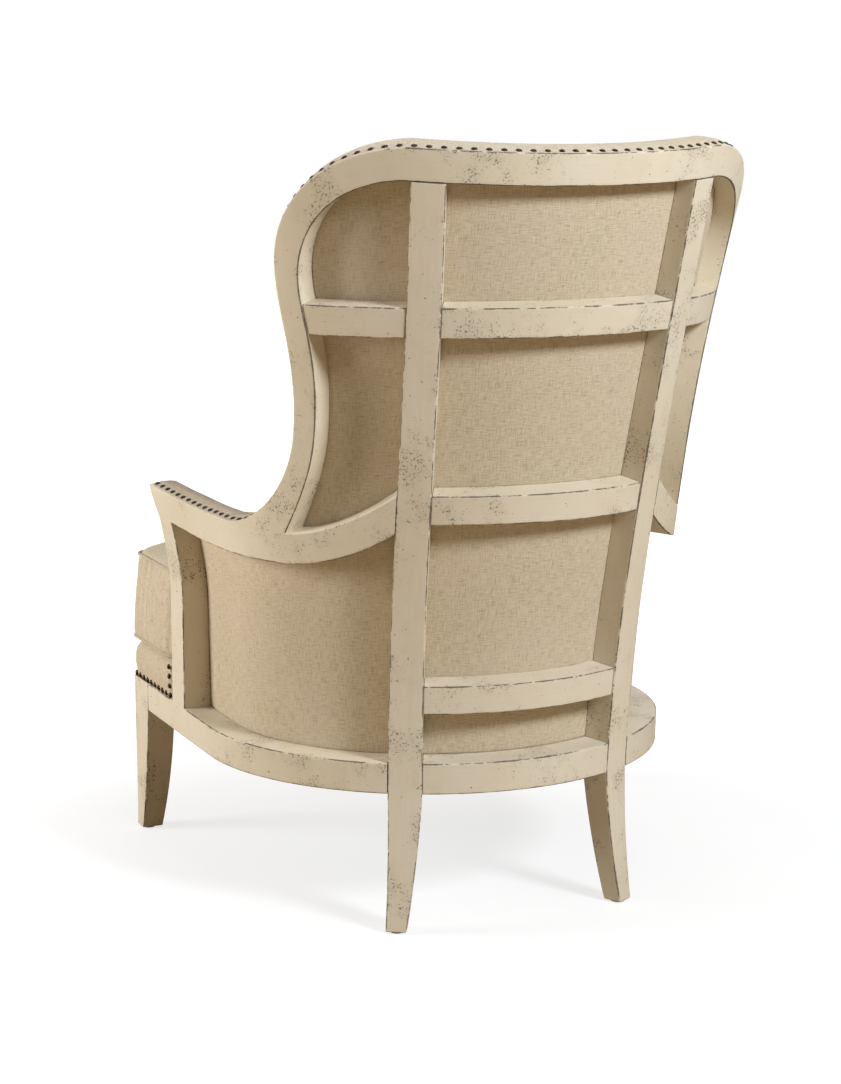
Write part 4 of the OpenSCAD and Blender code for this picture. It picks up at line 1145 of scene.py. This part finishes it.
def seat_deck():
    """The upholstered platform under the cushion: a roll round its edge, drawn down to the seat rails"""
    inside, corner, count = 2, 8, 420

    def ring(e, z, share=1):
        outline = seat_outline(z, DECK_GAP, LEG_FRONT - inside, BARREL - inside, corner, count)
        return level(outline, e, share, z)

    # how far in, and how high above the rails, then round the roll and in over the top
    profile = [(e, COVER_LOW + up) for e, up in ((1.4, -0.4), (0.6, 0.6), (0.4, 4), (-0.4, 9), (-2.4, 18),
                                                 (-3.4, 27), (-3.0, 36), (-1.2, 44))]
    wide, tall = 14, 13
    profile += [(wide - wide * math.cos(a), DECK_ROLL - tall + tall * math.sin(a))
                for a in np.linspace(0.25, np.pi / 2, 9)]
    profile += [(22, DECK_ROLL - 0.6), (32, DECK_ROLL - 4), (44, PLATFORM + 2), (58, PLATFORM)]
    rings = [ring(e, z) for e, z in profile]
    rings += [ring(60, PLATFORM, share) for share in (0.95, 0.8, 0.55, 0.25)]
    deck = seat_piece("seat_deck_linen", rings, nodes=("seat_platform",))
    even_out(deck, 0.006, 2)
    lay_cloth(deck, rings[3][:, :2])


def cushion_plan(z, n):
    ear = EAR - limit((z - CUSHION_LOW) / BOXING) * EAR_TAPER
    return seat_outline(min(max(z, CUSHION_LOW), CUSHION_HIGH), CUSHION_GAP, CUSHION_FRONT, ear, CORNER, n)


def welt_cord(name, path):
    """A covered cord sewn round a closed path"""
    size, sides, n = WELT - 1.2, 8, len(path)
    t = unit(np.roll(path, -1, 0) - np.roll(path, 1, 0))
    out = unit(np.cross(t, [0, 0, 1.0]))
    up = np.cross(out, t)
    a = np.arange(sides) * 2 * np.pi / sides
    rings = path[:, None] + size / 2 * (out[:, None] * np.cos(a)[:, None] + up[:, None] * np.sin(a)[:, None])
    run = np.linspace(0, lengths(np.concatenate([path, path[:1]]))[-1], n + 1)[:-1]
    uv = places(np.repeat(run, sides), np.tile(a * size / 2, n))
    return piece(name, rings.reshape(-1, 3), ring_faces(n, sides, True), SHADED_WELT_LINEN, uv, body="cushion",
                 slot="welt_linen")


def seat_cushion():
    """The loose cushion: a T-shaped case with a welt round its top and bottom, filled so that it crowns"""
    n, seam, flare, draw, tuck = 320, 2.4, 1.2, 6, 3.6
    foot_lift, head_lift, crown_less = 13, 2, 2
    low, high = CUSHION_LOW + foot_lift, CUSHION_HIGH + head_lift
    foot, head = level(cushion_plan(low, n), -flare)[:, :2], cushion_plan(high, n)
    # shares of the outline and heights: under the cushion, up its sides and over its crown
    rings = [level(foot, seam, share, PLATFORM + SOFT_GAP + up)
             for share, up in ((0.2, 0), (0.5, 0), (0.75, 0.4), (0.88, 2.2), (0.94, 5.4), (0.975, 9.8))]
    for t in np.linspace(0, 1, 15):
        z = mix(low, high, t)
        rings.append(level(cushion_plan(z, n), seam - draw * t * (1 - t) - tuck * (1 - t), 1, z))
    for share, up in ((0.985, 0.16), (0.95, 0.42), (0.9, 0.62), (0.82, 0.78), (0.7, 0.89), (0.5, 0.96),
                      (0.25, 0.99)):
        rings.append(level(head, seam, share, high + (CROWN - crown_less) * up))
    cushion = seat_piece("seat_cushion_linen", rings, body="cushion", nodes=("seat_cushion",))
    sewn = np.concatenate([level(p, seam, 1, z) for p, z in ((foot, low), (head, high))])
    fill_out(cushion, in_place(sewn))
    lay_cloth(cushion, head)
    for name, z, place in (("lower_welt", low, foot), ("upper_welt", high, head)):
        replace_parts(welt_cord(name, level(place, seam + 0.3, 1, z)), "cushion_welts")


def fill_out(obj, sewn):
    """Lets the filling swell a padded piece like cloth, held where it is sewn, and by the most that
    it may rise above and beside; nothing moves on its flat underside"""
    voxel, hold, most_above, most_beside, plain_swell, frames = 0.0065, 0.012, 0.006, 0.003, 0.004, 20
    scene = bpy.context.scene
    even_out(obj, voxel, 1)
    mesh = obj.data
    start = np.array([v.co for v in mesh.vertices])
    tree = near_tree(sewn)
    held = limit(1.4 - np.array([tree.find(p)[2] for p in start]) / hold)
    ease = np.zeros(len(mesh.vertices) * 3, np.float32)
    mesh.vertices.foreach_get("normal", ease)
    ease = ease.reshape(-1, 3)
    above, below = np.abs(ease[:, 2:]) > 0.6, ease[:, 2:] < -0.6
    group = obj.vertex_groups.new(name="sewn")
    for i in np.flatnonzero(held > 0):
        group.add([int(i)], float(held[i]), "REPLACE")
    cloth = obj.modifiers.new("filling", "CLOTH")
    for key, value in (("quality", 5), ("mass", 0.35), ("tension_stiffness", 12),
                       ("compression_stiffness", 12), ("bending_stiffness", 1.2), ("use_pressure", True),
                       ("uniform_pressure_force", 4.0), ("vertex_group_mass", "sewn")):
        setattr(cloth.settings, key, value)
    cloth.settings.effector_weights.gravity = 0
    cloth.point_cache.frame_start, cloth.point_cache.frame_end = 1, frames
    for number in range(1, frames + 1):
        scene.frame_set(number)
    take_shape(obj)
    scene.frame_set(1)
    mesh = obj.data
    moved = np.array([v.co for v in mesh.vertices]) - start
    size = np.linalg.norm(moved, axis=1, keepdims=True)
    cap = np.where(below, 0.0, np.where(above, most_above, most_beside))
    moved *= np.tanh(size / np.maximum(cap, 1e-5)) * cap / np.maximum(size, 1e-9)
    now = start + moved
    mesh.vertices.foreach_set("co", now.astype(np.float32).ravel())
    relax(mesh, 3)
    finer = obj.modifiers.new("finer", "SUBSURF")
    finer.levels = finer.render_levels = 1
    take_shape(obj)


# Dome nails
def nail_tree():
    """Nodes that set a dome on each point, turned to the way it faces and a little off it"""
    tree = bpy.data.node_groups.new("dome_nails", "GeometryNodeTree")
    inputs = {}
    tree.interface.new_socket("Points", in_out="INPUT", socket_type="NodeSocketGeometry")
    for name, kind, value in (("Head", "Float", NAIL_HEAD / 1000), ("Dome", "Float", NAIL_DOME),
                              ("Tilt", "Float", NAIL_TILT), ("Seed", "Int", NAIL_SEED),
                              ("Finish", "Material", BRONZE)):
        socket = tree.interface.new_socket(name, in_out="INPUT", socket_type=f"NodeSocket{kind}")
        inputs[socket.identifier] = value
    tree.interface.new_socket("Nails", in_out="OUTPUT", socket_type="NodeSocketGeometry")
    given = tree.nodes.new("NodeGroupInput").outputs

    def add(kind, values, **settings):
        return add_node(tree, kind, values, **settings)

    half = add("ShaderNodeMath", {0: given["Head"], 1: 0.5}, operation="MULTIPLY")
    ball = add("GeometryNodeMeshUVSphere", {"Segments": 12, "Rings": 6, "Radius": half})
    flatten = add("ShaderNodeCombineXYZ", {0: 1, 1: 1, 2: given["Dome"]})
    dome = add("GeometryNodeTransform", {"Geometry": ball, "Scale": flatten})
    dome = add("GeometryNodeSetShadeSmooth", {"Geometry": dome})
    facing = add("GeometryNodeInputNamedAttribute", {"Name": "facing"}, data_type="FLOAT_VECTOR")
    wander = add("FunctionNodeRandomValue", {0: (-1, -1, -1), 1: (1, 1, 1), "Seed": given["Seed"]},
                 data_type="FLOAT_VECTOR")
    wander = add("ShaderNodeVectorMath", {0: wander, "Scale": given["Tilt"]}, operation="SCALE")
    way = add("ShaderNodeVectorMath", {0: facing, 1: wander})
    turn = add("FunctionNodeAlignRotationToVector", {"Vector": way}, axis="Z")
    nails = add("GeometryNodeInstanceOnPoints",
                {"Points": given["Points"], "Instance": dome, "Rotation": turn})
    nails = add("GeometryNodeRealizeInstances", {0: nails})
    nails = add("GeometryNodeSetMaterial", {"Geometry": nails, "Material": given["Finish"]})
    tree.links.new(nails, tree.nodes.new("NodeGroupOutput").inputs[0])
    return tree, inputs


def dome_nails(name, at, facing, tree, inputs):
    base = 0.0004
    mesh = bpy.data.meshes.new(name)
    mesh.from_pydata((in_place(at) + facing * base).tolist(), [], [])
    mark = mesh.attributes.new("facing", "FLOAT_VECTOR", "POINT")
    mark.data.foreach_set("vector", np.asarray(facing, np.float32).ravel())
    mesh.materials.append(BRONZE)
    obj = link(name, mesh)
    made = obj.modifiers.new("nails", "NODES")
    made.node_group = tree
    for key, value in inputs.items():
        made[key] = value
    take_shape(obj)
    settle(obj, "frame")


def nail_rows(rim_row, arm_row):
    tree, inputs = nail_tree()
    dome_nails("crest_and_wing_nails", *rim_row, tree, inputs)
    # on the seat: along its front and sides, and up to the cushion beside each arm post
    low, side_x, corner, climb_pitch = COVER_LOW + 4.5, BARREL - 1.9, 6, 15.5
    x = np.arange(0, side_x - corner, NAIL_PITCH)
    front = places(x, -LEG_FRONT + 1.6, low)
    y = np.arange(-LEG_FRONT + 9, -ARM_POST_FRONT - corner, NAIL_PITCH)
    z = low + climb_pitch * np.arange(1, 4)
    flank = np.concatenate([places(side_x, y, low), places(side_x + 1.6 * np.sin((z - low) / 34), y[-1], z)])
    ahead, aside = np.array([[0.0, -1, 0]]), np.array([[1.0, 0, 0]])
    for side, turn in (("left", 1), ("right", -1)):
        mine = front if turn > 0 else front[1:]
        at = np.concatenate([arm_row[0], mine, flank])
        facing = np.concatenate([arm_row[1], np.repeat(ahead, len(mine), 0), np.repeat(aside, len(flank), 0)])
        way = np.array([turn, 1, 1])
        dome_nails(f"{side}_nails", at * way, facing * way, tree, inputs)


# Under the seat
HALF_INSIDE, FRONT_INSIDE = BARREL - SEAT_DEPTH - 0.6, LEG_FRONT - SEAT_DEPTH - 0.6


def seat_straps():
    """Woven straps from rail to rail, laid over and under each other"""
    half, front, edge, thick = HALF_INSIDE, FRONT_INSIDE, STRAP / 2, STRAP_T / 2
    shift = edge + LEG_SIDE / 2
    points, faces, uv = [], [], []
    for lengthwise in (True, False):
        for i in range(-2, 3):
            mid = i * STRAP_PITCH - (0 if lengthwise else shift)
            reach = half
            if lengthwise or mid > 0:
                reach = math.sqrt(half**2 - min(abs(mid) + edge, half - 1) ** 2)
            run = np.linspace(-front if lengthwise else -reach, reach, 90)
            wave = STRAP_WAVE * np.cos(np.pi * (run + (shift if lengthwise else 0)) / STRAP_PITCH) * (-1) ** i
            start = len(points)
            for r, h in zip(run, RAIL_TOP - 1.3 + (wave if lengthwise else -wave)):
                for side, up in ((-edge, -thick), (edge, -thick), (edge, thick), (-edge, thick)):
                    points.append((mid + side, r, h + up) if lengthwise else (r, mid + side, h + up))
                    uv.append((r, side + up))
            last = 4 * (len(run) - 1)
            strap = ring_faces(len(run), 4) + [(0, 1, 2, 3), (last + 3, last + 2, last + 1, last)]
            faces += [tuple(start + x for x in f) for f in strap]
    straps = piece("seat_straps", points, faces, JUTE, uv, slot="webbing", nodes=("seat_webbing",))


def dust_lining():
    """The lining under the seat, sagging a little between the rails"""
    half, front, sag, thick = HALF_INSIDE, FRONT_INSIDE, 0.5, 0.6
    a = np.linspace(0, np.pi, 60)
    edge = np.concatenate([places(half * np.cos(a), half * np.sin(a)), [[-half, -front / 2]],
                           places(np.linspace(-half, half, 40), -front), [[half, -front / 2]]])
    rings = [places(*(edge * share).T, RAIL_BASE + 1.6 - sag * (1 - share**2))
             for share in (1.0, 0.97, 0.9, 0.75, 0.5, 0.25, 0.08)]
    n, k = len(rings), len(edge)
    points = np.concatenate(rings + [rings[-1].mean(0, keepdims=True)])
    faces = ring_faces(n, k) + [(n * k, (n - 1) * k + j, (n - 1) * k + (j + 1) % k) for j in range(k)]
    m = len(points)
    points = np.concatenate([points, points - np.array([0, 0, thick])])
    faces += [tuple(m + x for x in reversed(f)) for f in faces] + sew([*range(k), 0], m)
    cover = piece("dust_lining", points, faces, LINING, points[:, :2], slot="lining", nodes=("dust_cover",))


def keep_cad(node, finish):
    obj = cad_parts[node]
    obj.data.materials.clear()
    obj.data.materials.append(finish)


# Studio
# Each lamp's name, place, size, power and colour; all of them face the middle of the chair
LAMPS = (("key", (-1.22, 3.35, 2.78), 1.0, 150, (0.95, 0.99, 1.03)),
         ("side", (3.35, -1.30, 1.45), 1.7, 106, (0.98, 0.97, 0.95)),
         ("overhead", (0.0, 0.35, 3.8), 1.8, 27, (0.92, 0.99, 1.12)),
         ("front", (-0.6, -3.2, 2.2), 2.4, 11, (1.0, 0.98, 0.95)))
AIM = Vector((0, 0, 0.55))
CAMERA_PLACE, CAMERA_YAW, CAMERA_PITCH = (1.53611, (3508.15 - MID_Y) / 1000, 1.19103), 23.515, 10.11
# The focal length in pixels of the photograph, and the photograph's height
FOCAL, PHOTO_HEIGHT, SENSOR = 2516.9, 1084, 36
FAR_CLIP, WARM_AIR, AIR_LIGHT, WHITE = 60, (1.0, 0.74, 0.44), 0.15, (1, 1, 1)
FLOOR_BOUNCE, FLOOR_SEEN = (0.46, 0.36, 0.24), (0.72, 0.72, 0.725)
FLOOR_GLOW, FLOOR_RADIUS, FLOOR_SIDES = 1.235, 9, 96


def camera():
    data = bpy.data.cameras.new("camera")
    data.lens, data.sensor_width, data.clip_end = FOCAL / PHOTO_HEIGHT * SENSOR, SENSOR, FAR_CLIP
    yaw, pitch = math.radians(CAMERA_YAW), math.radians(CAMERA_PITCH)
    view = link("camera", data)
    view.location = CAMERA_PLACE
    way = Vector((-math.sin(yaw) * math.cos(pitch), -math.cos(yaw) * math.cos(pitch), -math.sin(pitch)))
    view.rotation_euler = way.to_track_quat("-Z", "Y").to_euler()
    bpy.context.scene.camera = view


def lamps():
    for name, place, size, power, tone in LAMPS:
        light = bpy.data.lights.new(name, "AREA")
        light.shape, light.size, light.energy, light.color = "DISK", size, power, tone
        lamp = link(name, light)
        lamp.location = place
        lamp.rotation_euler = (AIM - Vector(place)).to_track_quat("-Z", "Y").to_euler()


def backdrop():
    """Warm soft light from all round, which the camera and the gloss see as plain white"""
    world = bpy.data.worlds.new("studio")
    bpy.context.scene.world = world
    world.use_nodes = True
    tree = world.node_tree
    tree.nodes.clear()
    ray = tree.nodes.new("ShaderNodeLightPath").outputs
    mirrored = add_node(tree, "ShaderNodeMath", {0: ray["Is Glossy Ray"], 1: ray["Is Transmission Ray"]},
                        operation="MAXIMUM")
    seen = add_node(tree, "ShaderNodeMath", {0: ray["Is Camera Ray"], 1: mirrored}, operation="MAXIMUM")
    soft = add_node(tree, "ShaderNodeBackground", {0: WARM_AIR, 1: AIR_LIGHT})
    white = add_node(tree, "ShaderNodeBackground", {0: WHITE, 1: 1.0})
    both = add_node(tree, "ShaderNodeMixShader", {0: seen, 1: soft, 2: white})
    tree.links.new(both, tree.nodes.new("ShaderNodeOutputWorld").inputs[0])


def floor():
    """A pale floor that keeps the chair's shadow and fades into the white round it"""
    near, far, least, most = 0.6, 1.25, 0.62, 1.0
    paper = Finish("floor_paper", roughness=0.9, specular_ior_level=0.0)
    away = paper.node("ShaderNodeVectorMath", {0: paper.place()}, out=1, operation="LENGTH")
    seen = paper.node("ShaderNodeLightPath", out="Is Camera Ray")
    paper.done(paper.blend(seen, FLOOR_BOUNCE, FLOOR_SEEN))
    share = paper.ramp(away, near, far, least, most) * seen
    glow = paper.node("ShaderNodeEmission", {1: FLOOR_GLOW})
    both = paper.node("ShaderNodeMixShader", {0: share, 1: paper.surface.outputs[0], 2: glow})
    fill(paper.tree, paper.result.inputs[0], both)
    mesh = bpy.data.meshes.new("floor")
    a = np.linspace(0, 2 * np.pi, FLOOR_SIDES + 1)[:-1]
    mesh.from_pydata([(FLOOR_RADIUS * math.cos(x), FLOOR_RADIUS * math.sin(x), 0) for x in a], [],
                     [tuple(range(FLOOR_SIDES))])
    mesh.materials.append(paper.material)
    link("floor", mesh)


bpy.context.scene.view_settings.view_transform = "Standard"
camera()
lamps()
backdrop()
floor()
frame_members()
back_cover()
wing_covers()
arm_covers()
rim_row = back_padding()
arm_row = arm_padding()
seat_deck()
seat_cushion()
nail_rows(rim_row, arm_row)
seat_straps()
dust_lining()
for node, finish in (("front_seat_rail", PAINT), ("corner_blocks", BEECH), ("block_screws", ZINC),
                     ("foot_glides", NYLON)):
    keep_cad(node, finish)
